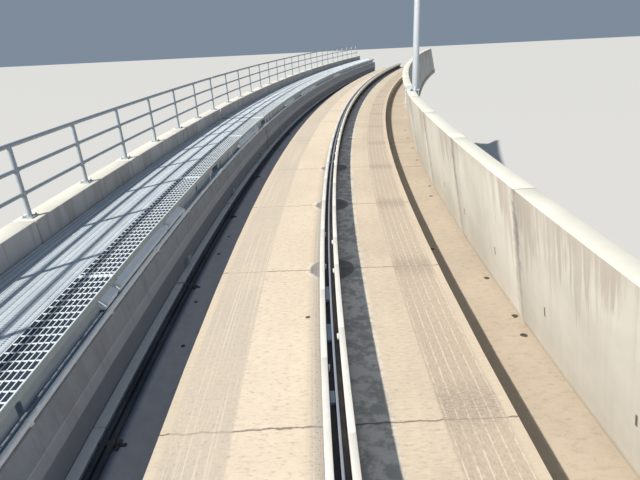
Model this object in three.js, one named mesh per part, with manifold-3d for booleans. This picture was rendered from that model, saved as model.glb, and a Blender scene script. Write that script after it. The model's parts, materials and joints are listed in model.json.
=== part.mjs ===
// A curved, elevated guideway for a rubber-tyred automated people mover: two concrete box-girder spans on
// three round piers, with the running slab, guide beam, parapet, service walkway, handrail and cable runs.
// Units are millimetres. +Y runs along the chord from the near end to the far end, +X is to the right,
// towards the inside of the curve, and +Z is up. The origin is on the ground at the middle of the outline.
import * as THREE from "three";
import { mergeVertices } from "three/addons/utils/BufferGeometryUtils.js";
import Module from "manifold-3d";

const wasm = await Module();
wasm.setup();

// Alignment: an easement curve that turns right, tightest at station 0.
const RADIUS_NEAR = 84700;
const RADIUS_FAR = 138400;
const EASEMENT_LENGTH = 40000;

// Stations along the track centreline.
const NEAR_END = 700;
const FAR_END = 39200;
const EXPANSION_STATION = 12690;
const EXPANSION_GAP = 60;
const SWEEP_STEP = 1300;

// Heights above the running surface, and distances from the centreline, right positive.
const GROUND_Z = -7500;
const SEAT_GAP = 0.3;
const SLIDE_GAP = 0.5;

const SLAB_HALF_WIDTH = 1300;
const LOWER_DECK_Z = -240;
const RAISED_DECK_Z = 395;
const UPSTAND_FOOT_D = -1970;
const UPSTAND_ARRIS = { d: -1920, z: 80 };
const UPSTAND_TOP_D = -1955;
const DECK_LEFT_D = -3420;
const DECK_RIGHT_D = 2250;
const LEFT_TIP_THICKNESS = 260;
const RIGHT_TIP_THICKNESS = 220;
const GIRDER_CENTRE_D = -600;
const SOFFIT_Z = -2000;
const SOFFIT_HALF_WIDTH = 1150;
const WEB_TOP_HALF_WIDTH = 1520;
const LEFT_WEB_TOP_Z = -520;
const RIGHT_WEB_TOP_Z = -650;
const END_POCKET = { wall: 250, depth: 450, topDrop: 62, topWall: 350, overshoot: 10 };

// Long runs stop short of a span's ends, and welded pieces of one node run into each other.
const RUN_END_INSET = 20;
const RAIL_END_INSET = 5;
const WELD = 1;

const PARAPET = {
  toeD: 1990,
  filletD: 1930,
  filletZ: -110,
  topInnerD: 1692,
  topWidth: 209,
  topZ: 1231,
  outerFootD: 2215,
};

// Past its start the deck's right edge and the parapet draw away from the track, up to the flare's end.
const FLARE = { fromD: 1500, start: 11000, end: 26000, rate: 0.0264 };

const KERB = { innerD: -3129, width: 269, topZ: 921 };
const WALKWAY = { innerD: -1994, outerD: -3120, topZ: 658, gratingDepth: 30 };
const EDGE_CHANNEL = { width: 45, depth: 45, setBack: 51 };
const EDGE_ANGLE_WIDTH = 40;
const BEARER = { width: 60, depth: 50, endGap: 10 };
const BRACKET = {
  pitch: 1525,
  first: 870,
  endMargin: 60,
  thickness: 12,
  footLength: 90,
  headOverhang: 60,
  trayGap: 20,
  clearance: 15,
  setBack: 4,
  tip: 30,
};
const OUTER_LEG = { d: -3060, width: 50 };

const POSTS = {
  near: { first: 1003, pitch: 1281.8, count: 10 },
  far: { first: 13897, pitch: 1292.6, count: 20 },
};
const POST = { d: -3264, radius: 28, height: 783, plate: 130, plateThickness: 12 };
const RAILS = [
  { height: 262, radius: 21 },
  { height: 525, radius: 21 },
  { height: 783, radius: 25 },
];
const TUBE_SIDES = 6;

const GUIDE_BEAM = {
  flangeHalfWidth: 95,
  flangeThickness: 16,
  webHalfThickness: 8,
  topZ: 205,
  bottomZ: 14,
};
const POWER_RAIL = { innerD: 53, outerD: 103.5, topZ: 289 };
const SIGNAL_RAIL = { halfWidth: 9, topZ: 262 };
const CHAIR = { pitch: 1170, halfWidth: 90, length: 160 };

const TRAY = { rightD: -2018, leftD: -2200, floor: 4, wall: 45 };
const HOOD = {
  rightD: -2012,
  eaveD: -1982,
  eaveRise: 65,
  ridgeD: -2062,
  ridgeRise: 110,
  shoulderD: -2120,
  shoulderRise: 50,
  leftD: -2206,
  thickness: 5,
};
const CLOSING_PLATE = { rightD: -2046, thickness: 6, footGap: 5 };
const CONDUIT = { d: -1985, z: 421, radius: 23 };
const SADDLE = { pitch: 1300, first: 350, endMargin: 100, width: 50, length: 40 };
const DUCT = { leftD: -1950, rightD: -1862, height: 45, lid: 8, overhang: 5 };
const CABLES = { radius: 24, d: [-1815, -1755] };
const STRAP = { first: 2050, pitch: 2450, endMargin: 300, length: 50, overhang: 30, height: 40 };

// Service mast over the coping's outer edge by the expansion joint, on a plate with a leg outside the wall.
const MAST = {
  station: 12300,
  d: 1905,
  radius: 75,
  height: 3200,
  plate: 210,
  plateThickness: 20,
  sides: 16,
  legShift: 75,
  legThickness: 14,
  legHeight: 240,
};

// The box that feeds the mast lies across the coping, and its duct hangs down the inner face.
const FEED = {
  station: 12130,
  leftD: 1652,
  rightD: 1780,
  length: 150,
  height: 100,
  ductLength: 60,
  ductDepth: 36,
  ductHeight: 370,
};

// Piers: each row is one pier's name and station, and the bearings' shifts along the track.
const PIERS = [
  { name: "near", station: 2500, ends: [{ span: "near", shift: 0 }] },
  {
    name: "middle",
    station: EXPANSION_STATION,
    ends: [
      { span: "near", shift: -520 },
      { span: "far", shift: 520 },
    ],
  },
  { name: "far", station: 37400, ends: [{ span: "far", shift: 0 }] },
];
const FOOTING = { width: 3600, height: 800 };
const COLUMN = { radius: 800, capRadius: 1400, capHeight: 1350, lip: 220, sides: 40 };
const BEARING = {
  height: 210,
  plinth: 90,
  shelfLength: 560,
  shelfHalfWidth: 1080,
  padSize: 460,
  padD: 820,
};

// Cable hoods: name, the bracket before it, and the start and end of the piece within that bay.
const HOODS = [
  ["near_1", 1, 0.83, 1],
  ["near_2", 2, 0, 1],
  ["near_3", 3, 0, 0.41],
  ["near_4", 6, 0, 1],
  ["near_5", 7, 0, 0.32],
  ["far_1", 10, 0, 1],
  ["far_2", 12, 0, 1],
  ["far_3", 13, 0, 1],
  ["far_4", 17, 0, 1],
];
const BAY_END_GAP = 30;

// Plates that close the walkway's side where no hood stands: span, bay, and start and end within the bay.
const CLOSING_PLATES = [
  ["near", 0, 0, 1],
  ["near", 1, 0, 0.8],
  ["near", 3, 0.43, 1],
  ["near", 4, 0, 0.66],
  ["near", 4, 0.9, 1],
  ["near", 5, 0, 1],
  ["near", 7, 0.36, 0.7],
  ...[8, 9, 11, 14, 15, 16, 18, 19, 20, 21, 22, 23, 24].map((bay) => ["far", bay, 0, 1]),
];

const SPANS = [
  { name: "near", start: NEAR_END, end: EXPANSION_STATION - EXPANSION_GAP / 2 },
  { name: "far", start: EXPANSION_STATION + EXPANSION_GAP / 2, end: FAR_END },
];

const MATERIALS = {
  concrete: new THREE.MeshStandardMaterial({ color: 0xb4ab9d, roughness: 0.92, metalness: 0 }),
  paleConcrete: new THREE.MeshStandardMaterial({ color: 0xd9d3c4, roughness: 0.9, metalness: 0 }),
  slab: new THREE.MeshStandardMaterial({ color: 0xa3978a, roughness: 0.9, metalness: 0 }),
  galvanised: new THREE.MeshStandardMaterial({ color: 0x9aa7b1, roughness: 0.5, metalness: 0.7 }),
  steel: new THREE.MeshStandardMaterial({ color: 0x4a4743, roughness: 0.6, metalness: 0.6 }),
  white: new THREE.MeshStandardMaterial({ color: 0xdcdad2, roughness: 0.5, metalness: 0 }),
  blueGrey: new THREE.MeshStandardMaterial({ color: 0x7d8b97, roughness: 0.45, metalness: 0.3 }),
  black: new THREE.MeshStandardMaterial({ color: 0x16181c, roughness: 0.7, metalness: 0 }),
};

// Heading of the centreline at a station, turning right from +Y.
const CURVATURE_NEAR = 1 / RADIUS_NEAR;
const CURVATURE_RATE = (1 / RADIUS_FAR - 1 / RADIUS_NEAR) / EASEMENT_LENGTH;

function heading(station) {
  return CURVATURE_NEAR * station + 0.5 * CURVATURE_RATE * station * station;
}

// Simpson's rule along the easement gives the centreline's point at a station.
function centre(station) {
  const intervals = 40;
  const width = station / intervals;
  let x = 0;
  let y = 0;
  for (let i = 0; i <= intervals; i += 1) {
    const weight = i === 0 || i === intervals ? 1 : i % 2 === 1 ? 4 : 2;
    x += weight * Math.sin(heading(i * width));
    y += weight * Math.cos(heading(i * width));
  }
  return { x: (x * width) / 3, y: (y * width) / 3 };
}

function flare(d, station) {
  if (d < FLARE.fromD) return 0;
  return FLARE.rate * (THREE.MathUtils.clamp(station, FLARE.start, FLARE.end) - FLARE.start);
}

function trackPoint(station, d, z) {
  const { x, y } = centre(station);
  const angle = heading(station);
  const across = d + flare(d, station);
  return new THREE.Vector3(x + across * Math.cos(angle), y - across * Math.sin(angle), z);
}

// Bends a geometry modelled as (x = d, y = station, z = height) onto the track.
function bend(geometry) {
  const position = geometry.getAttribute("position");
  const cache = new Map();
  for (let i = 0; i < position.count; i += 1) {
    const station = position.getY(i);
    if (!cache.has(station)) {
      cache.set(station, { at: centre(station), angle: heading(station) });
    }
    const { at, angle } = cache.get(station);
    const across = position.getX(i) + flare(position.getX(i), station);
    position.setXY(i, at.x + across * Math.cos(angle), at.y - across * Math.sin(angle));
  }
  return geometry;
}

// A section of [d, z] corners carried along the track from one station to another.
function sweep(section, start, end, step = SWEEP_STEP) {
  const steps = Math.max(1, Math.round((end - start) / step));
  const shape = new THREE.Shape(section.map(([d, z]) => new THREE.Vector2(d, -z)));
  const geometry = new THREE.ExtrudeGeometry(shape, { depth: end - start, steps, bevelEnabled: false });
  return bend(geometry.rotateX(-Math.PI / 2).translate(0, start, 0));
}

function rectangle(leftD, rightD, bottomZ, topZ) {
  return [
    [leftD, bottomZ],
    [rightD, bottomZ],
    [rightD, topZ],
    [leftD, topZ],
  ];
}

// A round bar's section, with one flat underneath.
function roundSection(d, z, radius, sides) {
  return Array.from({ length: sides }, (_, i) => {
    const angle = ((i + 0.5) / sides) * 2 * Math.PI - Math.PI / 2;
    return [d + radius * Math.cos(angle), z + radius * Math.sin(angle)];
  });
}

// Turns a geometry centred on its own origin to the track's heading and puts it at a place on the track.
function place(geometry, station, d, z) {
  const at = trackPoint(station, d, z);
  return geometry.rotateZ(-heading(station)).translate(at.x, at.y, at.z);
}

function block(width, length, height) {
  return new THREE.BoxGeometry(width, length, height).translate(0, 0, height / 2);
}

function upright(radius, height, sides) {
  return new THREE.CylinderGeometry(radius, radius, height, sides)
    .rotateX(Math.PI / 2)
    .rotateZ(Math.PI / sides)
    .translate(0, 0, height / 2);
}

function toSolid(geometry) {
  const bare = geometry.clone();
  for (const name of Object.keys(bare.attributes)) {
    if (name !== "position") bare.deleteAttribute(name);
  }
  const merged = mergeVertices(bare, 1e-3);
  const mesh = new wasm.Mesh({
    numProp: 3,
    vertProperties: new Float32Array(merged.getAttribute("position").array),
    triVerts: new Uint32Array(merged.getIndex().array),
  });
  return new wasm.Manifold(mesh);
}

function toGeometry(solid) {
  const mesh = solid.getMesh();
  const geometry = new THREE.BufferGeometry();
  geometry.setAttribute("position", new THREE.BufferAttribute(new Float32Array(mesh.vertProperties), 3));
  geometry.setIndex(new THREE.BufferAttribute(new Uint32Array(mesh.triVerts), 1));
  const flat = geometry.toNonIndexed();
  flat.computeVertexNormals();
  return flat;
}

function join(geometries) {
  return toGeometry(geometries.map(toSolid).reduce((whole, piece) => whole.add(piece)));
}

function cut(geometry, tools) {
  return toGeometry(tools.map(toSolid).reduce((whole, tool) => whole.subtract(tool), toSolid(geometry)));
}

const guideway = new THREE.Group();

function add(name, geometry, material) {
  const mesh = new THREE.Mesh(geometry, material);
  mesh.name = name;
  guideway.add(mesh);
}

// The girder, its deck and the raised walkway deck are cast as one piece per span.
function girderSection() {
  const webLeft = GIRDER_CENTRE_D - WEB_TOP_HALF_WIDTH;
  const webRight = GIRDER_CENTRE_D + WEB_TOP_HALF_WIDTH;
  return [
    [DECK_RIGHT_D, LOWER_DECK_Z - RIGHT_TIP_THICKNESS],
    [DECK_RIGHT_D, LOWER_DECK_Z],
    [UPSTAND_FOOT_D, LOWER_DECK_Z],
    [UPSTAND_ARRIS.d, UPSTAND_ARRIS.z],
    [UPSTAND_TOP_D, RAISED_DECK_Z],
    [DECK_LEFT_D, RAISED_DECK_Z],
    [DECK_LEFT_D, RAISED_DECK_Z - LEFT_TIP_THICKNESS],
    [webLeft, LEFT_WEB_TOP_Z],
    [GIRDER_CENTRE_D - SOFFIT_HALF_WIDTH, SOFFIT_Z],
    [GIRDER_CENTRE_D + SOFFIT_HALF_WIDTH, SOFFIT_Z],
    [webRight, RIGHT_WEB_TOP_Z],
  ];
}

// The hollow of the box shows only at the outer ends, back to the end diaphragm.
function pocketSection() {
  const bottomZ = SOFFIT_Z + END_POCKET.wall;
  const topZ = RIGHT_WEB_TOP_Z - END_POCKET.topDrop;
  const topHalf = WEB_TOP_HALF_WIDTH - END_POCKET.topWall;
  const bottomHalf = SOFFIT_HALF_WIDTH - END_POCKET.wall;
  return [
    [GIRDER_CENTRE_D - bottomHalf, bottomZ],
    [GIRDER_CENTRE_D + bottomHalf, bottomZ],
    [GIRDER_CENTRE_D + topHalf, topZ],
    [GIRDER_CENTRE_D - topHalf, topZ],
  ];
}

function addGirder(span) {
  const body = sweep(girderSection(), span.start, span.end);
  const { depth, overshoot } = END_POCKET;
  const pocket =
    span.name === "near"
      ? sweep(pocketSection(), NEAR_END - overshoot, NEAR_END + depth)
      : sweep(pocketSection(), FAR_END - depth, FAR_END + overshoot);
  add(`box_girder_${span.name}`, cut(body, [pocket]), MATERIALS.concrete);
}

function addSlab(span) {
  const section = rectangle(-SLAB_HALF_WIDTH, SLAB_HALF_WIDTH, LOWER_DECK_Z + SEAT_GAP, 0);
  add(`running_slab_${span.name}`, sweep(section, span.start, span.end), MATERIALS.slab);
}

function addParapet(span) {
  const footZ = LOWER_DECK_Z + SEAT_GAP;
  const section = [
    [PARAPET.toeD, footZ],
    [PARAPET.outerFootD, footZ],
    [PARAPET.topInnerD + PARAPET.topWidth, PARAPET.topZ],
    [PARAPET.topInnerD, PARAPET.topZ],
    [PARAPET.filletD, PARAPET.filletZ],
  ];
  add(`parapet_${span.name}`, sweep(section, span.start, span.end), MATERIALS.paleConcrete);
}

function addKerb(span) {
  const section = rectangle(KERB.innerD - KERB.width, KERB.innerD, RAISED_DECK_Z + SEAT_GAP, KERB.topZ);
  add(`kerb_${span.name}`, sweep(section, span.start, span.end), MATERIALS.paleConcrete);
}

function addHandrail(span) {
  const { first, pitch, count } = POSTS[span.name];
  const pieces = RAILS.map(({ height, radius }) =>
    sweep(roundSection(POST.d, KERB.topZ + height, radius, TUBE_SIDES), span.start, span.end),
  );
  const seat = KERB.topZ + SEAT_GAP;
  for (let i = 0; i < count; i += 1) {
    const station = first + i * pitch;
    pieces.push(place(upright(POST.radius, POST.height - SEAT_GAP, TUBE_SIDES), station, POST.d, seat));
    pieces.push(place(block(POST.plate, POST.plate, POST.plateThickness), station, POST.d, seat));
  }
  add(`handrail_${span.name}`, join(pieces), MATERIALS.galvanised);
}

function bracketStations(span) {
  const stations = [];
  const last = span.end - BRACKET.endMargin;
  for (let station = BRACKET.first; station < last; station += BRACKET.pitch) {
    if (station > span.start + BRACKET.endMargin) stations.push(station);
  }
  return stations;
}

// The start and end of a piece that takes up a share of the bay between two brackets.
function withinBay(bay, from, to) {
  const start = BRACKET.first + bay * BRACKET.pitch + BAY_END_GAP;
  const length = BRACKET.pitch - 2 * BAY_END_GAP;
  return [start + from * length, start + to * length];
}

// A thin triangular plate across the track, wide at the top and narrow at its foot.
function bracketPlate(station, topZ) {
  const right = WALKWAY.innerD - BRACKET.setBack;
  const footRight = TRAY.leftD - BRACKET.trayGap;
  const footLeft = footRight - BRACKET.footLength;
  const footZ = RAISED_DECK_Z + SEAT_GAP;
  const section = [
    [footLeft, footZ],
    [footRight, footZ],
    [footRight, footZ + TRAY.wall + BRACKET.clearance],
    [right, topZ - BRACKET.tip],
    [right, topZ],
    [footLeft - BRACKET.headOverhang, topZ],
  ];
  return sweep(section, station - BRACKET.thickness / 2, station + BRACKET.thickness / 2);
}

// Edge channel, edge angle, bearers, legs and closing plates are welded into one frame per span.
function addWalkwayFrame(span) {
  const topZ = WALKWAY.topZ - WALKWAY.gratingDepth - SEAT_GAP;
  const start = span.start + RUN_END_INSET;
  const end = span.end - RUN_END_INSET;
  const channelRight = WALKWAY.innerD - EDGE_CHANNEL.setBack;
  const channelLeft = channelRight - EDGE_CHANNEL.width;
  const angleRight = WALKWAY.outerD + EDGE_ANGLE_WIDTH;
  const pieces = [
    sweep(rectangle(channelLeft, channelRight, topZ - EDGE_CHANNEL.depth, topZ), start, end),
    sweep(rectangle(WALKWAY.outerD, angleRight, topZ - BEARER.depth, topZ), start, end),
  ];
  const bearerLength = WALKWAY.innerD - WALKWAY.outerD - 2 * BEARER.endGap;
  const bearerZ = topZ - BEARER.depth;
  const middleD = (WALKWAY.innerD + WALKWAY.outerD) / 2;
  for (const station of bracketStations(span)) {
    const bearer = block(bearerLength, BEARER.width, BEARER.depth);
    pieces.push(place(bearer, station, middleD, bearerZ));
    pieces.push(bracketPlate(station, topZ - WELD));
    const legHeight = topZ - RAISED_DECK_Z - SEAT_GAP - WELD;
    const leg = block(OUTER_LEG.width, OUTER_LEG.width, legHeight);
    pieces.push(place(leg, station, OUTER_LEG.d, RAISED_DECK_Z + SEAT_GAP));
  }
  const plateLeft = CLOSING_PLATE.rightD - CLOSING_PLATE.thickness;
  const plateFoot = RAISED_DECK_Z + SEAT_GAP + TRAY.wall + CLOSING_PLATE.footGap;
  const plateTop = topZ - EDGE_CHANNEL.depth + WELD;
  for (const [name, ...share] of CLOSING_PLATES) {
    if (name !== span.name) continue;
    const [plateStart, plateEnd] = withinBay(...share);
    pieces.push(sweep(rectangle(plateLeft, CLOSING_PLATE.rightD, plateFoot, plateTop), plateStart, plateEnd));
  }
  add(`walkway_frame_${span.name}`, join(pieces), MATERIALS.galvanised);
}

function addGrating(span) {
  const bottomZ = WALKWAY.topZ - WALKWAY.gratingDepth;
  const section = rectangle(WALKWAY.outerD, WALKWAY.innerD, bottomZ, WALKWAY.topZ);
  const panel = sweep(section, span.start + RUN_END_INSET, span.end - RUN_END_INSET);
  add(`walkway_grating_${span.name}`, panel, MATERIALS.galvanised);
}

function addTray(span) {
  const bottomZ = RAISED_DECK_Z + SEAT_GAP;
  const { rightD, leftD, floor, wall } = TRAY;
  const section = [
    [leftD, bottomZ],
    [rightD, bottomZ],
    [rightD, bottomZ + wall],
    [rightD - floor, bottomZ + wall],
    [rightD - floor, bottomZ + floor],
    [leftD + floor, bottomZ + floor],
    [leftD + floor, bottomZ + wall],
    [leftD, bottomZ + wall],
  ];
  const tray = sweep(section, span.start + RUN_END_INSET, span.end - RUN_END_INSET);
  add(`cable_tray_${span.name}`, tray, MATERIALS.galvanised);
}

// A folded cover on the tray: its right side leans out to an eave, and from its ridge it falls to both sides.
function addHood([name, ...share]) {
  const [start, end] = withinBay(...share);
  const footZ = RAISED_DECK_Z + SEAT_GAP + TRAY.wall + SEAT_GAP;
  const { rightD, eaveD, eaveRise, ridgeD, ridgeRise, shoulderD, shoulderRise, leftD, thickness } = HOOD;
  const section = [
    [leftD, footZ],
    [leftD + 2 * thickness, footZ],
    [shoulderD, footZ + shoulderRise - thickness],
    [ridgeD, footZ + ridgeRise - thickness],
    [eaveD - 2 * thickness, footZ + eaveRise],
    [rightD - 2 * thickness, footZ],
    [rightD, footZ],
    [eaveD, footZ + eaveRise],
    [ridgeD, footZ + ridgeRise],
    [shoulderD, footZ + shoulderRise],
  ];
  add(`cable_hood_${name}`, sweep(section, start, end), MATERIALS.galvanised);
}

function addConduit(span) {
  const section = roundSection(CONDUIT.d, CONDUIT.z, CONDUIT.radius, TUBE_SIDES);
  const pieces = [sweep(section, span.start + RUN_END_INSET, span.end - RUN_END_INSET)];
  const seat = RAISED_DECK_Z + SEAT_GAP;
  const last = span.end - SADDLE.endMargin;
  for (let station = span.start + SADDLE.first; station < last; station += SADDLE.pitch) {
    pieces.push(place(block(SADDLE.width, SADDLE.length, CONDUIT.z - seat), station, CONDUIT.d, seat));
  }
  add(`conduit_${span.name}`, join(pieces), MATERIALS.galvanised);
}

function addGuideBeam(span) {
  const { flangeHalfWidth: f, flangeThickness: t, webHalfThickness: w, topZ, bottomZ } = GUIDE_BEAM;
  const section = [
    [-f, bottomZ],
    [f, bottomZ],
    [f, bottomZ + t],
    [w, bottomZ + t],
    [w, topZ - t],
    [f, topZ - t],
    [f, topZ],
    [-f, topZ],
    [-f, topZ - t],
    [-w, topZ - t],
    [-w, bottomZ + t],
    [-f, bottomZ + t],
  ];
  const pieces = [sweep(section, span.start + RAIL_END_INSET, span.end - RAIL_END_INSET)];
  const last = span.end - CHAIR.length;
  for (let station = span.start + CHAIR.pitch / 2; station < last; station += CHAIR.pitch) {
    const chair = block(2 * CHAIR.halfWidth, CHAIR.length, bottomZ + WELD - SEAT_GAP);
    pieces.push(place(chair, station, 0, SEAT_GAP));
  }
  add(`guide_beam_${span.name}`, join(pieces), MATERIALS.steel);
}

function addPowerRails(span) {
  const bottomZ = GUIDE_BEAM.topZ + SEAT_GAP;
  const start = span.start + RAIL_END_INSET;
  const end = span.end - RAIL_END_INSET;
  const { innerD, outerD, topZ } = POWER_RAIL;
  const left = rectangle(-outerD, -innerD, bottomZ, topZ);
  const right = rectangle(innerD, outerD, bottomZ, topZ);
  const signal = rectangle(-SIGNAL_RAIL.halfWidth, SIGNAL_RAIL.halfWidth, bottomZ, SIGNAL_RAIL.topZ);
  add(`power_rail_left_${span.name}`, sweep(left, start, end), MATERIALS.white);
  add(`power_rail_right_${span.name}`, sweep(right, start, end), MATERIALS.white);
  add(`signal_rail_${span.name}`, sweep(signal, start, end), MATERIALS.blueGrey);
}

// A flat duct with a lid lies on the channel's floor at the foot of the upstand.
function addFloorDuct(span) {
  const footZ = LOWER_DECK_Z + SEAT_GAP;
  const { leftD, rightD, height, lid, overhang } = DUCT;
  const section = [
    [leftD, footZ],
    [rightD, footZ],
    [rightD, footZ + height - lid],
    [rightD + overhang, footZ + height - lid],
    [rightD + overhang, footZ + height],
    [leftD - overhang, footZ + height],
    [leftD - overhang, footZ + height - lid],
    [leftD, footZ + height - lid],
  ];
  add(`floor_duct_${span.name}`, sweep(section, span.start, span.end), MATERIALS.galvanised);
}

// Two cables beside the duct, held down by straps.
function addCables(span) {
  const footZ = LOWER_DECK_Z + SEAT_GAP;
  const z = footZ + CABLES.radius * Math.cos(Math.PI / TUBE_SIDES);
  const pieces = CABLES.d.map((d) => sweep(roundSection(d, z, CABLES.radius, TUBE_SIDES), span.start, span.end));
  const [first, last] = CABLES.d;
  const strapWidth = Math.abs(first - last) + 2 * STRAP.overhang;
  const lastStation = span.end - STRAP.endMargin;
  for (let station = span.start + STRAP.first; station < lastStation; station += STRAP.pitch) {
    const strap = block(strapWidth, STRAP.length, STRAP.height);
    pieces.push(place(strap, station, (first + last) / 2, footZ));
  }
  add(`channel_cables_${span.name}`, join(pieces), MATERIALS.black);
}

function addPier({ name, station, ends }) {
  add(
    `footing_${name}`,
    place(block(FOOTING.width, FOOTING.width, FOOTING.height), station, GIRDER_CENTRE_D, GROUND_Z),
    MATERIALS.concrete,
  );
  const footZ = GROUND_Z + FOOTING.height + SEAT_GAP;
  const topZ = SOFFIT_Z - BEARING.height;
  const flareZ = topZ - COLUMN.lip - COLUMN.capHeight;
  const profile = [
    new THREE.Vector2(0, footZ),
    new THREE.Vector2(COLUMN.radius, footZ),
    new THREE.Vector2(COLUMN.radius, flareZ),
    new THREE.Vector2(COLUMN.capRadius, topZ - COLUMN.lip),
    new THREE.Vector2(COLUMN.capRadius, topZ),
    new THREE.Vector2(0, topZ),
  ];
  const column = new THREE.LatheGeometry(profile, COLUMN.sides).rotateX(Math.PI / 2);
  add(`pier_${name}`, place(column, station, GIRDER_CENTRE_D, 0), MATERIALS.concrete);
  for (const { span, shift } of ends) {
    const shelfZ = topZ + SEAT_GAP;
    const at = station + shift;
    const padZ = shelfZ + BEARING.plinth - WELD;
    const padHeight = SOFFIT_Z - (span === "far" ? SLIDE_GAP : SEAT_GAP) - padZ;
    const shelf = block(2 * BEARING.shelfHalfWidth, BEARING.shelfLength, BEARING.plinth);
    const pieces = [place(shelf, at, GIRDER_CENTRE_D, shelfZ)];
    for (const side of [-1, 1]) {
      const d = GIRDER_CENTRE_D + side * BEARING.padD;
      pieces.push(place(block(BEARING.padSize, BEARING.padSize, padHeight), at, d, padZ));
    }
    add(`bearing_${name}_${span}`, join(pieces), MATERIALS.steel);
  }
}

function addMast() {
  const { station, d, plate, plateThickness } = MAST;
  const seat = PARAPET.topZ + SEAT_GAP;
  const legZ = seat + WELD - MAST.legHeight;
  const pieces = [
    place(upright(MAST.radius, MAST.height, MAST.sides), station, d, seat),
    place(block(plate, plate, plateThickness), station, d, seat),
    place(block(MAST.legThickness, plate, MAST.legHeight), station, d + MAST.legShift, legZ),
  ];
  add("service_mast", join(pieces), MATERIALS.blueGrey);
}

function addMastFeed() {
  const { station, leftD, rightD, length, height, ductLength, ductDepth, ductHeight } = FEED;
  const seat = PARAPET.topZ + SEAT_GAP;
  const box = sweep(rectangle(leftD, rightD, seat, seat + height), station - length / 2, station + length / 2);
  const duct = sweep(
    rectangle(leftD, leftD + ductDepth, seat + WELD - ductHeight, seat + WELD),
    station - ductLength / 2,
    station + ductLength / 2,
  );
  add("mast_feed", join([box, duct]), MATERIALS.galvanised);
}

for (const pier of PIERS) addPier(pier);
for (const span of SPANS) {
  addGirder(span);
  addSlab(span);
  addParapet(span);
  addKerb(span);
  addHandrail(span);
  addWalkwayFrame(span);
  addGrating(span);
  addTray(span);
  addConduit(span);
  addGuideBeam(span);
  addPowerRails(span);
  addFloorDuct(span);
  addCables(span);
}
for (const hood of HOODS) addHood(hood);
addMast();
addMastFeed();

// Turns the chord onto +Y and sets the origin on the ground at the middle of the outline.
const chord = trackPoint(FAR_END, 0, 0).sub(trackPoint(NEAR_END, 0, 0));
guideway.rotation.z = Math.atan2(chord.x, chord.y);
const group = new THREE.Group();
group.add(guideway);
group.updateMatrixWorld(true);
const outline = new THREE.Box3().setFromObject(guideway, true);
const middle = outline.getCenter(new THREE.Vector3());
guideway.position.set(-middle.x, -middle.y, -outline.min.z);

export default group;
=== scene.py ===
# %% [markdown]
# # A curved people mover guideway
# The CAD gives this viaduct as plain solids: concrete spans on round piers, a running slab with its guide
# beam, and a service walkway with its cable runs. Here each surface gets its real finish, and the pieces
# that the CAD keeps plain, such as open gratings and round rails, are modelled again in full.

# %% Load the frame
import json
import math

import bmesh
import bpy
import numpy as np
from mathutils import Matrix, Vector


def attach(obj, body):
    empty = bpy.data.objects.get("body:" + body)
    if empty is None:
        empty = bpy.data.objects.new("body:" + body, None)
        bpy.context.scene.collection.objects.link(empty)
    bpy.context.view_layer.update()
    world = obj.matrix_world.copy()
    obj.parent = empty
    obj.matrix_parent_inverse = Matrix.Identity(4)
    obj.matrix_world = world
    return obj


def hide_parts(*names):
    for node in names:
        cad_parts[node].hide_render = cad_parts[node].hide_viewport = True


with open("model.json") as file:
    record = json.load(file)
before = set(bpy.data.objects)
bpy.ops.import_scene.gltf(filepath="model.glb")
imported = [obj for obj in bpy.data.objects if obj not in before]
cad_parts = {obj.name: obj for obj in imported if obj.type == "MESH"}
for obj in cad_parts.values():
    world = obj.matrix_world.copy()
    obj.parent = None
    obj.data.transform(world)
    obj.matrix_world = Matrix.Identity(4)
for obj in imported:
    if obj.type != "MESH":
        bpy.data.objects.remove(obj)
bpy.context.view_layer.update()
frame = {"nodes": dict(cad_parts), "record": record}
nodes = frame["nodes"]

# %% [markdown]
# ## The alignment
# Everything on the viaduct follows one curve, an easement that is tightest at station 0. The same three
# driving dimensions as in the CAD give the centreline here, so a piece can be placed by its station, its
# distance to the right of the centreline and its height above the running surface, all in metres.

# %% The centreline
RADIUS_NEAR, RADIUS_FAR, EASEMENT_LENGTH = 84.7, 138.4, 40.0
CURVATURE_RATE = (1 / RADIUS_FAR - 1 / RADIUS_NEAR) / EASEMENT_LENGTH
CHORD_TURN = 0.205705
STATION_ZERO = Vector((1.426887, -19.780163, 7.5))
FLARE_START, FLARE_END, FLARE_RATE = 11.0, 26.0, 0.0264
NEAR_END, JOINT, FAR_END = 0.7, 12.69, 39.2
JOINT_GAP = 0.06
SPANS = {"near": (NEAR_END, JOINT - JOINT_GAP / 2), "far": (JOINT + JOINT_GAP / 2, FAR_END)}
BODIES = {"near": "piers_and_near_span", "far": "far_span"}


def heading(station):
    return station / RADIUS_NEAR + CURVATURE_RATE * station**2 / 2


def to_row(point):
    """A point given from station 0, y ahead and x to the right, in the object's own frame."""
    return Matrix.Rotation(CHORD_TURN, 3, "Z") @ Vector(point) + STATION_ZERO


def track_point(station, lateral=0.0, height=0.0):
    grid = np.linspace(0.0, station, 81)
    weights = np.ones(81)
    weights[1:-1:2], weights[2:-1:2] = 4.0, 2.0
    east = (weights * np.sin(heading(grid))).sum() * station / 240
    north = (weights * np.cos(heading(grid))).sum() * station / 240
    turn = heading(station)
    return to_row((east + lateral * math.cos(turn), north - lateral * math.sin(turn), height))


def flare(station):
    """How far the parapet, and all that it carries, stands further out than the curve asks."""
    return FLARE_RATE * (min(max(station, FLARE_START), FLARE_END) - FLARE_START)


print("joint at", tuple(round(v, 3) for v in track_point(JOINT)), "flare there", round(flare(JOINT), 3))

# %% [markdown]
# A straight piece is far easier to model than a bent one. So every long piece is made straight, with its
# station as y and its distance from the centreline as x, and a Curve modifier bends it along this helper.
# The helper is tilted by a quarter turn because the modifier would otherwise turn the piece on its side.

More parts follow.
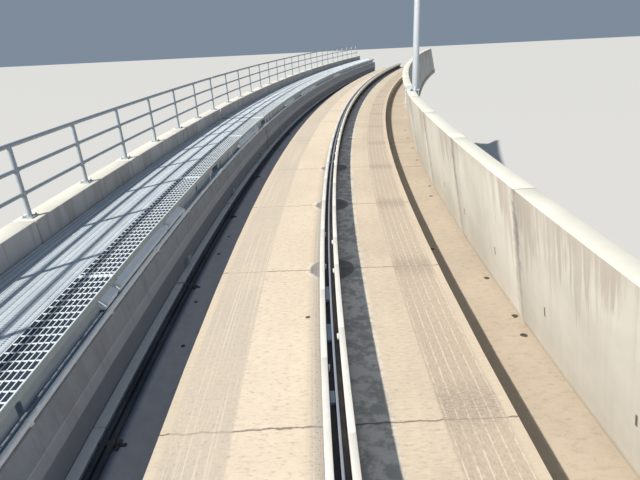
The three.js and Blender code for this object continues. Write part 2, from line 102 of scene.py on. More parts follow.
# %% The helper curve for bending
HELPER_STEP = 0.25
helper_data = bpy.data.curves.new("alignment_helper", "CURVE")
helper_data.dimensions = "3D"
helper_data.twist_mode = "Z_UP"
helper_points = int((FAR_END + 1.0) / HELPER_STEP) + 1
spline = helper_data.splines.new("POLY")
spline.points.add(helper_points - 1)
for index, point in enumerate(spline.points):
    at = track_point(index * HELPER_STEP)
    point.co = (at.x, at.y, 0.0, 1.0)
    point.tilt = math.pi / 2
helper = bpy.data.objects.new("alignment_helper", helper_data)
bpy.context.collection.objects.link(helper)
print("helper points", helper_points)

# %% [markdown]
# ## Camera
# The photo looks ahead and down from 2.6 m above the running surface, in the middle of the track, with a
# slight roll. The angles and the lens come from fitting the track's known curve to the picture.

# %% Camera
CAMERA_PLACE = (-0.0921, 0.0, 2.6)
CAMERA_YAW, CAMERA_PITCH, CAMERA_ROLL = 0.028, 0.4097, -0.0548
FOCAL_PIXELS, PHOTO_WIDTH, SENSOR_WIDTH = 472.71, 640, 36.0

ahead = Vector((math.sin(CAMERA_YAW), math.cos(CAMERA_YAW), 0)) * math.cos(CAMERA_PITCH)
ahead.z = -math.sin(CAMERA_PITCH)
level = Vector((math.cos(CAMERA_YAW), -math.sin(CAMERA_YAW), 0))
upright = level.cross(ahead)
right = math.cos(CAMERA_ROLL) * level + math.sin(CAMERA_ROLL) * upright
up = math.cos(CAMERA_ROLL) * upright - math.sin(CAMERA_ROLL) * level
turned = Matrix((right, up, -ahead)).transposed()

camera_data = bpy.data.cameras.new("camera")
camera_data.sensor_width = SENSOR_WIDTH
camera_data.lens = FOCAL_PIXELS / PHOTO_WIDTH * SENSOR_WIDTH
camera_data.clip_start, camera_data.clip_end = 0.05, 500.0
camera = bpy.data.objects.new("camera", camera_data)
bpy.context.collection.objects.link(camera)
camera.matrix_world = Matrix.Translation(to_row(CAMERA_PLACE)) @ (
    Matrix.Rotation(CHORD_TURN, 4, "Z") @ turned.to_4x4()
)
bpy.context.scene.camera = camera
camera_at = tuple(round(v, 3) for v in camera.matrix_world.translation)
print("camera at", camera_at, "lens", round(camera_data.lens, 2))

# %% [markdown]
# ## Light and floor
# One soft key from behind on the left gives the same side of each piece its light as in the photo: it
# travels about 1 to the right and 0.8 ahead for each 1 down. A pale world fills the shadows, and a pale
# floor lies under the footings.

# %% Light, world and floor
KEY_TRAVEL = Vector((1.0, 0.8, -1.0))
KEY_STRENGTH, KEY_SOFTNESS = 5.8, math.radians(1.5)
FILL_STRENGTH = 0.33
FLOOR_HALF = 300.0

key_data = bpy.data.lights.new("key", "SUN")
key_data.energy, key_data.angle = KEY_STRENGTH, KEY_SOFTNESS
key_data.color = (1.0, 0.945, 0.86)
key = bpy.data.objects.new("key", key_data)
bpy.context.collection.objects.link(key)
travel = Matrix.Rotation(CHORD_TURN, 3, "Z") @ KEY_TRAVEL
key.rotation_euler = travel.to_track_quat("-Z", "Y").to_euler()

world = bpy.data.worlds.new("studio")
world.use_nodes = True
world.node_tree.nodes["Background"].inputs["Color"].default_value = (0.636, 0.788, 1.0, 1.0)
world.node_tree.nodes["Background"].inputs["Strength"].default_value = FILL_STRENGTH
bpy.context.scene.world = world
bpy.context.scene.view_settings.view_transform = "Standard"

bpy.ops.object.select_all(action="DESELECT")
bpy.ops.mesh.primitive_plane_add(size=2 * FLOOR_HALF)
floor = bpy.context.object
floor.name = "floor"
floor_paint = bpy.data.materials.new("floor_paint")
floor_paint.use_nodes = True
floor_shader = floor_paint.node_tree.nodes["Principled BSDF"]
floor_shader.inputs["Base Color"].default_value = (0.56, 0.56, 0.55, 1.0)
floor_shader.inputs["Roughness"].default_value = 0.9
floor.data.materials.append(floor_paint)
print("key travels", tuple(round(v, 2) for v in travel))

# %% [markdown]
# ## Small tools for node graphs
# A material here is a graph of small nodes. These helpers add a node, feed its sockets with a number or
# with another node's output, and start a node group, so that the graphs below stay short. They all work on
# the graph that was started last.

# %% Node helpers
graph = {}


def feed(value, socket):
    if isinstance(value, bpy.types.NodeSocket):
        graph["tree"].links.new(value, socket)
    elif value is not None:
        socket.default_value = value


def node(kind, output=0, **inputs):
    """Adds a node, feeds its sockets by name, and gives back one output."""
    made = graph["tree"].nodes.new(kind)
    for name, value in inputs.items():
        feed(value, made.inputs[name.replace("_", " ")])
    return made.outputs[output]


def calc(operation, *values):
    made = graph["tree"].nodes.new("ShaderNodeMath")
    made.operation = operation
    for socket, value in zip(made.inputs, values):
        feed(value, socket)
    return made.outputs[0]


def fade(value, start, end, low=0.0, high=1.0):
    """Goes smoothly from low to high while the value goes from start to end."""
    made = graph["tree"].nodes.new("ShaderNodeMapRange")
    made.interpolation_type = "SMOOTHSTEP"
    sockets = {"Value": value, "From Min": start, "From Max": end, "To Min": low, "To Max": high}
    for name, item in sockets.items():
        feed(item, made.inputs[name])
    return made.outputs[0]


def blend(share, first, second):
    """Mixes two colours."""
    made = graph["tree"].nodes.new("ShaderNodeMix")
    made.data_type = "RGBA"
    feed(share, made.inputs[0])
    feed(first, made.inputs[6])
    feed(second, made.inputs[7])
    return made.outputs[2]


def start_group(name, inputs, outputs):
    """Starts a shader group: inputs maps a name to its default, outputs are names of values."""
    tree = graph["tree"] = bpy.data.node_groups.new(name, "ShaderNodeTree")
    for label, default in inputs.items():
        socket = tree.interface.new_socket(label, in_out="INPUT", socket_type="NodeSocketFloat")
        socket.default_value = default
    for label in outputs:
        tree.interface.new_socket(label, in_out="OUTPUT", socket_type="NodeSocketFloat")
    entry = tree.nodes.new("NodeGroupInput")
    leave = tree.nodes.new("NodeGroupOutput")
    return tree, entry.outputs, leave.inputs


def use_group(group, **inputs):
    made = graph["tree"].nodes.new("ShaderNodeGroup")
    made.node_tree = group
    for name, value in inputs.items():
        feed(value, made.inputs[name.replace("_", " ")])
    return made.outputs


print("node helpers ready")

# %% [markdown]
# ## Where a point lies on the track
# Tyre tracks, joints and stains follow the track, not the axes. This group turns a point of the object
# into its station, its distance from the centreline and its height. Two polynomials, fitted here to the
# centreline, give its x and its station for any y, and one step square to the curve makes them exact.

# %% The track place group
POLYNOMIAL_DEGREE = 6
stations = np.linspace(-0.5, FAR_END + 1.0, 120)
line = np.array([track_point(s)[:2] for s in stations])
x_of_y = np.polyfit(line[:, 1], line[:, 0], POLYNOMIAL_DEGREE)
station_of_y = np.polyfit(line[:, 1], stations, POLYNOMIAL_DEGREE)
worst = np.abs(np.polyval(x_of_y, line[:, 1]) - line[:, 0]).max()


def polynomial(factors, value):
    """Horner's rule, one multiply-add node for each factor."""
    total = float(factors[0])
    for factor in factors[1:]:
        total = calc("MULTIPLY_ADD", total, value, float(factor))
    return total


place_group, _, place_out = start_group("track_place", {}, ("Station", "Lateral", "Height", "Wall Side"))
where = node("ShaderNodeTexCoord", "Object")
split = place_group.nodes.new("ShaderNodeSeparateXYZ")
place_group.links.new(where, split.inputs[0])
px, py, pz = split.outputs
slope_factors = np.polyder(x_of_y)
off = calc("SUBTRACT", px, polynomial(x_of_y, py))
slope = polynomial(slope_factors, py)
square = calc("MULTIPLY_ADD", slope, slope, 1.0)
shift = calc("DIVIDE", calc("MULTIPLY", off, slope), square)
foot_y = calc("ADD", py, shift)
foot_slope = polynomial(slope_factors, foot_y)
reach = calc("SQRT", calc("MULTIPLY_ADD", foot_slope, foot_slope, 1.0))
gap_x = calc("SUBTRACT", px, polynomial(x_of_y, foot_y))
gap_y = calc("SUBTRACT", py, foot_y)
across = calc("SUBTRACT", gap_x, calc("MULTIPLY", foot_slope, gap_y))
along = calc("MULTIPLY_ADD", foot_slope, gap_x, gap_y)
lateral_value = calc("DIVIDE", across, reach)
along_value = calc("DIVIDE", along, reach)
station_value = calc("ADD", polynomial(station_of_y, foot_y), along_value)
feed(station_value, place_out["Station"])
feed(lateral_value, place_out["Lateral"])
feed(calc("SUBTRACT", pz, STATION_ZERO.z), place_out["Height"])
flared = calc("MINIMUM", calc("MAXIMUM", station_value, FLARE_START), FLARE_END)
flare_value = calc("MULTIPLY", calc("SUBTRACT", flared, FLARE_START), FLARE_RATE)
feed(calc("SUBTRACT", lateral_value, flare_value), place_out["Wall Side"])
print("centreline polynomial is off by", round(worst * 1000, 3), "mm at most")

# %% [markdown]
# ## Effects that several finishes share
# Lines mark joints and seams, speckle breaks up a flat colour, and runs are the dark streaks that rain
# draws down a wall. Each is a group that puts out masks, so every concrete can use it with its own colours.

# %% Line and repeated line groups
line_group, line_in, line_out = start_group(
    "line_mask", {"Value": 0.0, "Centre": 0.0, "Half Width": 0.01, "Softness": 0.005}, ("Mask",)
)
distance = calc("ABSOLUTE", calc("SUBTRACT", line_in["Value"], line_in["Centre"]))
edge = calc("ADD", line_in["Half Width"], line_in["Softness"])
feed(fade(distance, line_in["Half Width"], edge, 1.0, 0.0), line_out["Mask"])

repeat_group, repeat_in, repeat_out = start_group(
    "repeat_mask",
    {"Value": 0.0, "First": 0.0, "Pitch": 1.0, "Half Width": 0.01, "Softness": 0.005},
    ("Mask", "Distance"),
)
repeat_shifted = calc("SUBTRACT", repeat_in["Value"], repeat_in["First"])
half_pitch = calc("MULTIPLY", repeat_in["Pitch"], 0.5)
repeat_distance = calc("PINGPONG", repeat_shifted, half_pitch)
repeat_edge = calc("ADD", repeat_in["Half Width"], repeat_in["Softness"])
repeat_fade = fade(repeat_distance, repeat_in["Half Width"], repeat_edge, 1.0, 0.0)
feed(repeat_fade, repeat_out["Mask"])
feed(repeat_distance, repeat_out["Distance"])
print("line groups ready")

# %% [markdown]
# Speckle has four outputs, from broad clouds to single pits. Runs are noise that is drawn out downwards,
# and its threshold rises with the drop below the top, so that only the strongest streaks reach far down.

# %% Speckle and runs groups
speckle_group, speckle_in, speckle_out = start_group(
    "speckle", {"Size": 1.0}, ("Broad", "Fine", "Grain", "Pits")
)
speckle_place = node("ShaderNodeTexCoord", "Object")
for label, scale, detail in (("Broad", 0.9, 4.0), ("Fine", 9.0, 6.0), ("Grain", 140.0, 3.0)):
    scaled = calc("DIVIDE", scale, speckle_in["Size"])
    looks = {"Scale": scaled, "Detail": detail, "Roughness": 0.6}
    noise = node("ShaderNodeTexNoise", Vector=speckle_place, **looks)
    feed(fade(noise, 0.3, 0.7), speckle_out[label])
pit_cells = node("ShaderNodeTexVoronoi", Vector=speckle_place, Scale=26.0, Randomness=1.0)
feed(fade(pit_cells, 0.05, 0.12, 1.0, 0.0), speckle_out["Pits"])

runs_group, runs_in, runs_out = start_group(
    "runs", {"Station": 0.0, "Height": 0.0, "Top": 0.0, "Reach": 1.0, "Spread": 3.0}, ("Mask",)
)
runs_place = node(
    "ShaderNodeCombineXYZ",
    X=calc("MULTIPLY", runs_in["Station"], runs_in["Spread"]),
    Y=calc("MULTIPLY", runs_in["Height"], 0.35),
    Z=3.7,
)
runs_noise = node("ShaderNodeTexNoise", Vector=runs_place, Scale=1.0, Detail=5.0, Roughness=0.7)
runs_drop = calc("SUBTRACT", runs_in["Top"], runs_in["Height"])
runs_fall = fade(calc("DIVIDE", runs_drop, runs_in["Reach"]), 0.0, 1.0, 0.46, 0.72)
runs_edge = calc("ADD", runs_fall, 0.1)
feed(fade(runs_noise, runs_fall, runs_edge), runs_out["Mask"])
print("speckle and runs ready")

# %% [markdown]
# ## Concrete finishes
# Every concrete starts as two close shades mixed by broad speckle, with a fine grain in its bump. Dirt,
# joints and runs are then laid over that in the places where the real viaduct shows them.

# %% Starting a material
finishes = {}


def start_material(name, roughness, metallic=0.0, bump=0.3):
    """Starts a material, kept under its name, with its shader and a Bump node that feeds it."""
    made = bpy.data.materials.new(name)
    finishes[name] = made
    made.use_nodes = True
    tree = graph["tree"] = made.node_tree
    shader = tree.nodes["Principled BSDF"]
    shader.inputs["Roughness"].default_value = roughness
    shader.inputs["Metallic"].default_value = metallic
    bumper = tree.nodes.new("ShaderNodeBump")
    bumper.inputs["Strength"].default_value = bump
    bumper.inputs["Distance"].default_value = 0.004
    tree.links.new(bumper.outputs[0], shader.inputs["Normal"])
    return tree, shader, bumper


def start_concrete(name, roughness, bump, grain):
    """A material that also knows each point's place on the track, with speckle as coarse as the grain."""
    tree, shader, bumper = start_material(name, roughness, bump=bump)
    place = use_group(place_group)
    return tree, shader, bumper, place, use_group(speckle_group, Size=grain)


def shade(red, green, blue):
    return (red, green, blue, 1.0)


print("material helpers ready")

# %% [markdown]
# Masks say where a shade goes. They are multiplied to narrow a place down, the larger of two joins places,
# and the groups above are called through these short forms. Noise can be drawn out along the track too.

# %% Mask helpers
def times(*masks):
    total = masks[0]
    for mask in masks[1:]:
        total = calc("MULTIPLY", total, mask)
    return total


def either(*masks):
    total = masks[0]
    for mask in masks[1:]:
        total = calc("MAXIMUM", total, mask)
    return total


def inside(value, low, high, soft=0.01):
    """1 where the value lies between low and high."""
    return times(fade(value, low - soft, low), fade(value, high, high + soft, 1.0, 0.0))


def opposite(mask):
    return calc("SUBTRACT", 1.0, mask)


def repeats(value, first, pitch, half_width, softness):
    """Lines that come back at each pitch of the value."""
    sizes = {"First": first, "Pitch": pitch, "Half_Width": half_width, "Softness": softness}
    return use_group(repeat_group, Value=value, **sizes)["Mask"]


def line_at(value, centre, half_width, softness):
    sizes = {"Centre": centre, "Half_Width": half_width, "Softness": softness}
    return use_group(line_group, Value=value, **sizes)["Mask"]


def runs(station, height, top, reach, spread):
    """Streaks that start at the height top and thin out over their reach."""
    sizes = {"Top": top, "Reach": reach, "Spread": spread}
    return use_group(runs_group, Station=station, Height=height, **sizes)["Mask"]


def drawn_noise(first, second, detail, roughness=0.5):
    """Noise over two values, each given with its own scale, so that one scale can draw it out."""
    across, along = (times(value, scale) for value, scale in (first, second))
    spot = node("ShaderNodeCombineXYZ", X=across, Y=along)
    return node("ShaderNodeTexNoise", Vector=spot, Scale=1.0, Detail=detail, Roughness=roughness)


def facing(axis):
    """How squarely a face looks along an axis, 1 at most."""
    split = graph["tree"].nodes.new("ShaderNodeSeparateXYZ")
    graph["tree"].links.new(node("ShaderNodeNewGeometry", "Normal"), split.inputs[0])
    return split.outputs[axis]


print("mask helpers ready")

# %% [markdown]
# The running slab is tan and lightly broomed. Tyres have drawn a grey-brown band with fine pale lines one
# metre either side of the beam, joints cross it about every 2.3 m, and at the nearer joints a round patch
# of grout surrounds the beam. The masks for these are laid over each other from the slab's own shades up.

# %% Slab concrete
SLAB_JOINTS_NEAR = (2.6, 5.09, 7.43, 9.77)
SLAB_JOINTS_FAR = {"from": 15.0, "first": 15.56, "pitch": 2.29}
GROUTED_JOINTS = (5.09, 7.43, 9.77)
GROUT_RIGHT, GROUT_LEFT, GROUT_RING = 0.3, 0.27, 0.29
TYRE_BAND = (0.78, 1.21)
TREAD_LINES = {"first": 0.795, "pitch": 0.082}
EDGE_STRIP = (1.215, 1.3)
SCUFFS = {"first": 0.41, "pitch": 2.34}
LEAF = (4.053, -0.237)

tree, shader, bumper, place, speckle = start_concrete("slab_concrete", 0.88, bump=0.35, grain=1.0)
station, lateral, height = place["Station"], place["Lateral"], place["Height"]
right_half = fade(lateral, -0.1, 0.1)
right_shades = blend(speckle["Broad"], shade(0.53, 0.45, 0.35), shade(0.62, 0.535, 0.42))
left_shades = blend(speckle["Broad"], shade(0.68, 0.58, 0.455), shade(0.75, 0.65, 0.52))
colour = blend(right_half, left_shades, right_shades)
colour = blend(times(speckle["Fine"], 0.25), colour, shade(0.6, 0.52, 0.42))
outer_tone = fade(calc("MULTIPLY_ADD", speckle["Fine"], 0.04, lateral), 0.62, 0.66, 0.0, 0.14)
colour = blend(outer_tone, colour, shade(0.42, 0.35, 0.28))
mottle = drawn_noise((lateral, 14.0), (station, 42.0), 6.0, 0.75)
colour = blend(fade(mottle, 0.5, 0.7, 0.0, 0.75), colour, shade(0.38, 0.315, 0.24))
colour = blend(fade(mottle, 0.28, 0.48, 0.6, 0.0), colour, shade(0.78, 0.69, 0.55))
# A painted shadow of the guide beam, mottled pale and dark, darkens the slab to its right.
painted_beam_shadow = times(fade(lateral, 0.05, 0.1), fade(lateral, 0.34, 0.44, 1.0, 0.0))
beam_shadow_mottle = fade(calc("MULTIPLY_ADD", mottle, 0.5, times(speckle["Fine"], 0.5)), 0.34, 0.68)
beam_shadow_tone = blend(beam_shadow_mottle, shade(0.78, 0.79, 0.79), shade(0.3, 0.35, 0.4))
colour = blend(times(painted_beam_shadow, 0.6), colour, beam_shadow_tone)
print("slab shades", len(tree.nodes), "nodes so far")

# %% [markdown]
# The tyre bands come next: a grey-brown wash inside each band, fine pale lines along it, dark and pale grit,
# and scuffed patches on the right-hand band that come back at about the pitch of the joints.

# %% Tyre bands on the slab
stripes = drawn_noise((lateral, 55.0), (station, 0.3), 3.0, 0.65)
right_band = inside(lateral, *TYRE_BAND, 0.03)
left_band = inside(lateral, -TYRE_BAND[1], -TYRE_BAND[0], 0.03)
band_noise = fade(speckle["Broad"], 0.0, 1.0, 0.55, 0.95)
colour = blend(times(right_band, band_noise), colour, shade(0.46, 0.385, 0.305))
colour = blend(times(left_band, band_noise, 0.75), colour, shade(0.5, 0.44, 0.37))
wavering = calc("MULTIPLY_ADD", stripes, 0.012, lateral)
tread_lines = repeats(wavering, TREAD_LINES["first"], TREAD_LINES["pitch"], 0.002, 0.006)
tread_share = fade(speckle["Fine"], 0.3, 0.6, 0.2, 0.55)
colour = blend(times(right_band, tread_lines, tread_share), colour, shade(0.76, 0.68, 0.57))
grit = drawn_noise((lateral, 70.0), (station, 22.0), 5.0, 0.8)
either_band = either(right_band, times(left_band, 0.6))
dark_grit = times(either_band, fade(grit, 0.5, 0.66, 0.0, 0.6))
colour = blend(dark_grit, colour, shade(0.27, 0.225, 0.19))
pale_grit = times(either_band, fade(grit, 0.34, 0.47, 0.5, 0.0))
colour = blend(pale_grit, colour, shade(0.68, 0.6, 0.5))
pale_stripes = times(left_band, fade(stripes, 0.54, 0.66, 0.0, 0.45))
colour = blend(pale_stripes, colour, shade(0.8, 0.73, 0.62))
edge_strip = inside(calc("ABSOLUTE", lateral), *EDGE_STRIP, 0.01)
colour = blend(times(edge_strip, 0.5), colour, shade(0.57, 0.49, 0.39))
scuffs = drawn_noise((lateral, 26.0), (station, 70.0), 2.0, 0.6)
joint_family = repeats(station, SCUFFS["first"], SCUFFS["pitch"], 0.06, 0.28)
scuffed = times(right_band, joint_family, fade(scuffs, 0.42, 0.62, 0.12, 0.55))
colour = blend(scuffed, colour, shade(0.25, 0.21, 0.18))
print("tyre bands", len(tree.nodes), "nodes so far")

# %% [markdown]
# The joints are dark and slightly crooked, and under the tyres rubber has filled them. To set round patches
# beside them, two short functions give the distance from a point to the nearest of some places.

# %% Joints of the slab
far_part = fade(station, SLAB_JOINTS_FAR["from"], SLAB_JOINTS_FAR["from"] + 0.1)
crooked = calc("MULTIPLY_ADD", speckle["Fine"], 0.02, station)
joint_masks = [line_at(crooked, at + 0.01, 0.004, 0.008) for at in SLAB_JOINTS_NEAR]
far_joints = repeats(crooked, SLAB_JOINTS_FAR["first"], SLAB_JOINTS_FAR["pitch"], 0.006, 0.01)
joints = either(*joint_masks, times(far_joints, far_part))
joints = times(joints, opposite(times(either(right_band, left_band), 0.6)))

# %% Distance to the nearest of some places
def how_far(spot, centre):
    made = graph["tree"].nodes.new("ShaderNodeVectorMath")
    made.operation = "DISTANCE"
    graph["tree"].links.new(spot, made.inputs[0])
    made.inputs[1].default_value = (*centre, 0.0)
    return made.outputs["Value"]


def nearest(spot, centres):
    """The distance from the spot to the nearest of some places, each a station and a lateral distance."""
    gap = how_far(spot, centres[0])
    for centre in centres[1:]:
        gap = calc("MINIMUM", gap, how_far(spot, centre))
    return gap


print("distance helpers ready")

# %% [markdown]
# The grout round the beam is dark, and on the left a pale ring surrounds it. Crumbs lie along the beam's
# foot and a dead leaf beside it. The broom's marks and the joints then give the slab its relief.

# %% Grout and litter on the slab
spot = node("ShaderNodeCombineXYZ", X=station, Y=lateral, Z=0.0)
grout_gap = nearest(spot, [(at, 0.0) for at in GROUTED_JOINTS])
grout_gap = calc("MULTIPLY_ADD", speckle["Fine"], 0.04, grout_gap)
left_half = opposite(right_half)
dark_right = times(right_half, fade(grout_gap, GROUT_RIGHT, GROUT_RIGHT + 0.03, 0.85, 0.0))
dark_left = times(left_half, fade(grout_gap, GROUT_LEFT - 0.03, GROUT_LEFT + 0.03, 0.9, 0.0))
colour = blend(either(dark_right, dark_left), colour, shade(0.15, 0.145, 0.145))
ring = line_at(grout_gap, GROUT_RING, 0.012, 0.025)
colour = blend(times(ring, left_half, 0.5), colour, shade(0.82, 0.76, 0.66))
colour = blend(times(joints, 0.8), colour, shade(0.16, 0.13, 0.11))

beam_foot = times(fade(lateral, -0.27, -0.13), fade(lateral, -0.09, -0.06, 1.0, 0.0))
beam_foot = times(beam_foot, fade(stripes, 0.3, 0.6, 0.35, 0.75))
colour = blend(beam_foot, colour, shade(0.38, 0.36, 0.34))
crumb_place = node("ShaderNodeTexCoord", "Object")
crumbs = node("ShaderNodeTexNoise", Vector=crumb_place, Scale=60.0, Detail=2.0)
beam_crumbs = times(beam_foot, fade(crumbs, 0.62, 0.66, 0.0, 0.9))
colour = blend(beam_crumbs, colour, shade(0.08, 0.075, 0.07))
beam_side = fade(calc("ABSOLUTE", lateral), 0.1, 0.16, 0.45, 0.0)
colour = blend(beam_side, colour, shade(0.3, 0.27, 0.24))
leaf_gap = calc("MULTIPLY_ADD", speckle["Fine"], 0.012, how_far(spot, LEAF))
leaf = fade(leaf_gap, 0.026, 0.032, 0.95, 0.0)
colour = blend(leaf, colour, shade(0.07, 0.055, 0.05))
# The slab's sides, below its top, are darker.
darker_slab_sides = fade(height, -0.05, -0.01, 0.6, 0.0)
colour = blend(darker_slab_sides, colour, shade(0.3, 0.27, 0.24))
feed(colour, shader.inputs["Base Color"])
broom = drawn_noise((lateral, 3.0), (station, 130.0), 2.0)
relief = calc("MULTIPLY_ADD", broom, 0.5, times(speckle["Grain"], 0.4))
relief = calc("SUBTRACT", relief, times(joints, 2.0))
feed(relief, bumper.inputs["Height"])
feed(fade(stripes, 0.3, 0.7, 0.82, 0.94), shader.inputs["Roughness"])
print("slab concrete", len(tree.nodes), "nodes")

# %% [markdown]
# One casting carries the deck, the upstand and the girder, so one material covers them by place. The open
# deck beside the slab is tan with crumbs along its edges, the cable channel is grey, the upstand has a pale
# band low down, and the girder's flanks and soffit show form panels, tie holes and drip stains.

# %% Girder concrete
FORM_SEAMS = {"first": 0.7, "pitch": 1.83, "low": -0.62, "lift": 0.69}
TIE_HOLES = {"first": 1.16, "pitch": 0.915, "low": -0.96, "half_width": 0.02}
FLANK_RUNS = (0.1, 2.2, 2.2)  # top, reach and spread
STAINED_LINES = (10.6, 11.9, 13.2)
CHANNEL_SIDES, CHANNEL_SHADOW_EDGE = (-1.95, -1.28), (-1.73, -1.66)
CHANNEL_LITTER = ((6.163, -1.613), (6.788, -1.6), (4.848, -1.606), (3.992, -1.528))
SCRAPS = (
    (8.423, 1.835), (5.147, 1.919), (6.064, 1.43), (3.923, 1.902), (4.274, 1.943), (9.051, 1.916),
    (21.22, 1.4), (19.24, 1.39), (17.34, 1.43), (13.03, 1.4), (11.05, 1.38), (10.5, 1.38),
    (12.46, 1.93), (13.77, 1.91), (15.0, 1.905), (11.17, 1.92), (17.7, 1.88),
)
tree, shader, bumper, place, speckle = start_concrete("girder_concrete", 0.9, bump=0.4, grain=1.3)
station, lateral, height = place["Station"], place["Lateral"], place["Height"]
formed = blend(speckle["Broad"], shade(0.43, 0.4, 0.36), shade(0.55, 0.52, 0.475))
formed = blend(times(speckle["Fine"], 0.3), formed, shade(0.4, 0.37, 0.33))
seams = repeats(station, FORM_SEAMS["first"], FORM_SEAMS["pitch"], 0.005, 0.006)
level_seams = repeats(height, FORM_SEAMS["low"], FORM_SEAMS["lift"], 0.004, 0.005)
all_seams = either(seams, level_seams)
formed = blend(times(all_seams, 0.55), formed, shade(0.24, 0.22, 0.2))
tie_along = repeats(station, TIE_HOLES["first"], TIE_HOLES["pitch"], TIE_HOLES["half_width"], 0.006)
tie_up = repeats(height, TIE_HOLES["low"], FORM_SEAMS["lift"], TIE_HOLES["half_width"], 0.006)
ties = times(tie_along, tie_up)
formed = blend(times(ties, 0.7), formed, shade(0.18, 0.17, 0.16))
flank_runs = runs(station, height, *FLANK_RUNS)
formed = blend(times(flank_runs, 0.5), formed, shade(0.2, 0.185, 0.17))
print("formed faces", len(tree.nodes), "nodes so far")

# %% [markdown]
# The deck to the right of the slab is mottled, with stained lines across it. Black crumbs gather at the
# foot of slab and parapet, scraps lie here and there, and a painted shadow of the slab darkens a strip
# beside it. The cable channel on the left has a painted shadow along its outer part.

# %% The open deck
deck_colour = blend(speckle["Broad"], shade(0.425, 0.36, 0.285), shade(0.486, 0.418, 0.33))
deck_mottle = drawn_noise((lateral, 9.0), (station, 20.0), 7.0, 0.78)
deck_colour = blend(fade(deck_mottle, 0.5, 0.68, 0.0, 0.6), deck_colour, shade(0.29, 0.23, 0.175))
deck_colour = blend(fade(deck_mottle, 0.3, 0.48, 0.4, 0.0), deck_colour, shade(0.56, 0.49, 0.39))
uneven = calc("MULTIPLY_ADD", speckle["Fine"], 0.03, station)
deck_lines = either(*[line_at(uneven, at, 0.01, 0.015) for at in STAINED_LINES])
deck_colour = blend(times(deck_lines, 0.75), deck_colour, shade(0.2, 0.165, 0.135))
slab_foot = fade(lateral, 1.33, 1.45, 1.0, 0.0)
wall_foot = fade(place["Wall Side"], 1.84, 1.97)
crumb_place = node("ShaderNodeTexCoord", "Object")
crumbs = node("ShaderNodeTexNoise", Vector=crumb_place, Scale=16.0, Detail=4.0, Roughness=0.7)
dusty_stretch = inside(station, 7.5, 19.0, 1.5)
crumb_share = times(slab_foot, fade(dusty_stretch, 0.0, 1.0, 0.35, 1.0))
crumb_share = either(crumb_share, times(wall_foot, 0.55))
crumb_edge = calc("SUBTRACT", 0.8, times(crumb_share, 0.2))
crumb_mask = fade(crumbs, crumb_edge, calc("ADD", crumb_edge, 0.03))
foot_tone = times(either(slab_foot, wall_foot), 0.22)
deck_colour = blend(foot_tone, deck_colour, shade(0.36, 0.3, 0.24))
# A painted shadow of the slab darkens the strip of deck beside it.
painted_slab_shadow = fade(calc("MULTIPLY_ADD", speckle["Fine"], 0.02, lateral), 1.515, 1.555, 0.65, 0.0)
deck_colour = blend(painted_slab_shadow, deck_colour, shade(0.25, 0.22, 0.195))
deck_colour = blend(times(crumb_mask, 0.85), deck_colour, shade(0.075, 0.065, 0.055))
spot = node("ShaderNodeCombineXYZ", X=station, Y=lateral, Z=0.0)
scrap_gap = calc("MULTIPLY_ADD", crumbs, 0.05, nearest(spot, SCRAPS))
scraps = fade(scrap_gap, 0.055, 0.062, 0.95, 0.0)
deck_colour = blend(scraps, deck_colour, shade(0.045, 0.04, 0.035))
channel = inside(lateral, *CHANNEL_SIDES, 0.03)
channel_colour = blend(speckle["Fine"], shade(0.42, 0.41, 0.43), shade(0.49, 0.475, 0.49))
# A painted shadow darkens the outer part of the channel floor, beside the upstand.
painted_channel_shadow = fade(lateral, *CHANNEL_SHADOW_EDGE, 0.85, 0.0)
channel_colour = blend(painted_channel_shadow, channel_colour, shade(0.09, 0.12, 0.18))
deck_colour = blend(channel, deck_colour, channel_colour)
litter_gap = calc("MULTIPLY_ADD", crumbs, 0.03, nearest(spot, CHANNEL_LITTER))
litter = fade(litter_gap, 0.036, 0.042, 0.95, 0.0)
deck_colour = blend(litter, deck_colour, shade(0.03, 0.03, 0.035))
print("deck", len(tree.nodes), "nodes so far")

# %% [markdown]
# The raised deck under the walkway is painted a cool grey as shade. The upstand that carries it faces the
# track, painted a darker bluish grey as shade, with a paler band between two lines low down and a deeper
# painted shade on its foot. Faces are told apart by where they look.

# %% The raised deck and the upstand
UPSTAND_FACE, PALE_BAND, BAND_LINE, FOOT_SHADE_LEVELS = (-2.0, -1.9), (0.08, 0.18), 0.185, (0.06, 0.085)
UPSTAND_RUNS = (0.4, 0.7, 5.0)  # top, reach and spread
raised = fade(height, 0.385, 0.39)
# The raised deck's cool grey is painted shade.
raised_shaded_colour = blend(speckle["Broad"], shade(0.36, 0.37, 0.39), shade(0.43, 0.44, 0.46))
on_upstand = inside(lateral, *UPSTAND_FACE)
# The upstand's bluish grey is painted shade.
upstand_shaded_colour = blend(speckle["Fine"], shade(0.31, 0.345, 0.39), shade(0.36, 0.395, 0.45))
pale_band = inside(height, *PALE_BAND, 0.01)
upstand_shaded_colour = blend(times(pale_band, 0.6), upstand_shaded_colour, shade(0.47, 0.49, 0.53))
band_line = line_at(height, BAND_LINE, 0.004, 0.006)
upstand_shaded_colour = blend(times(band_line, 0.5), upstand_shaded_colour, shade(0.6, 0.62, 0.66))
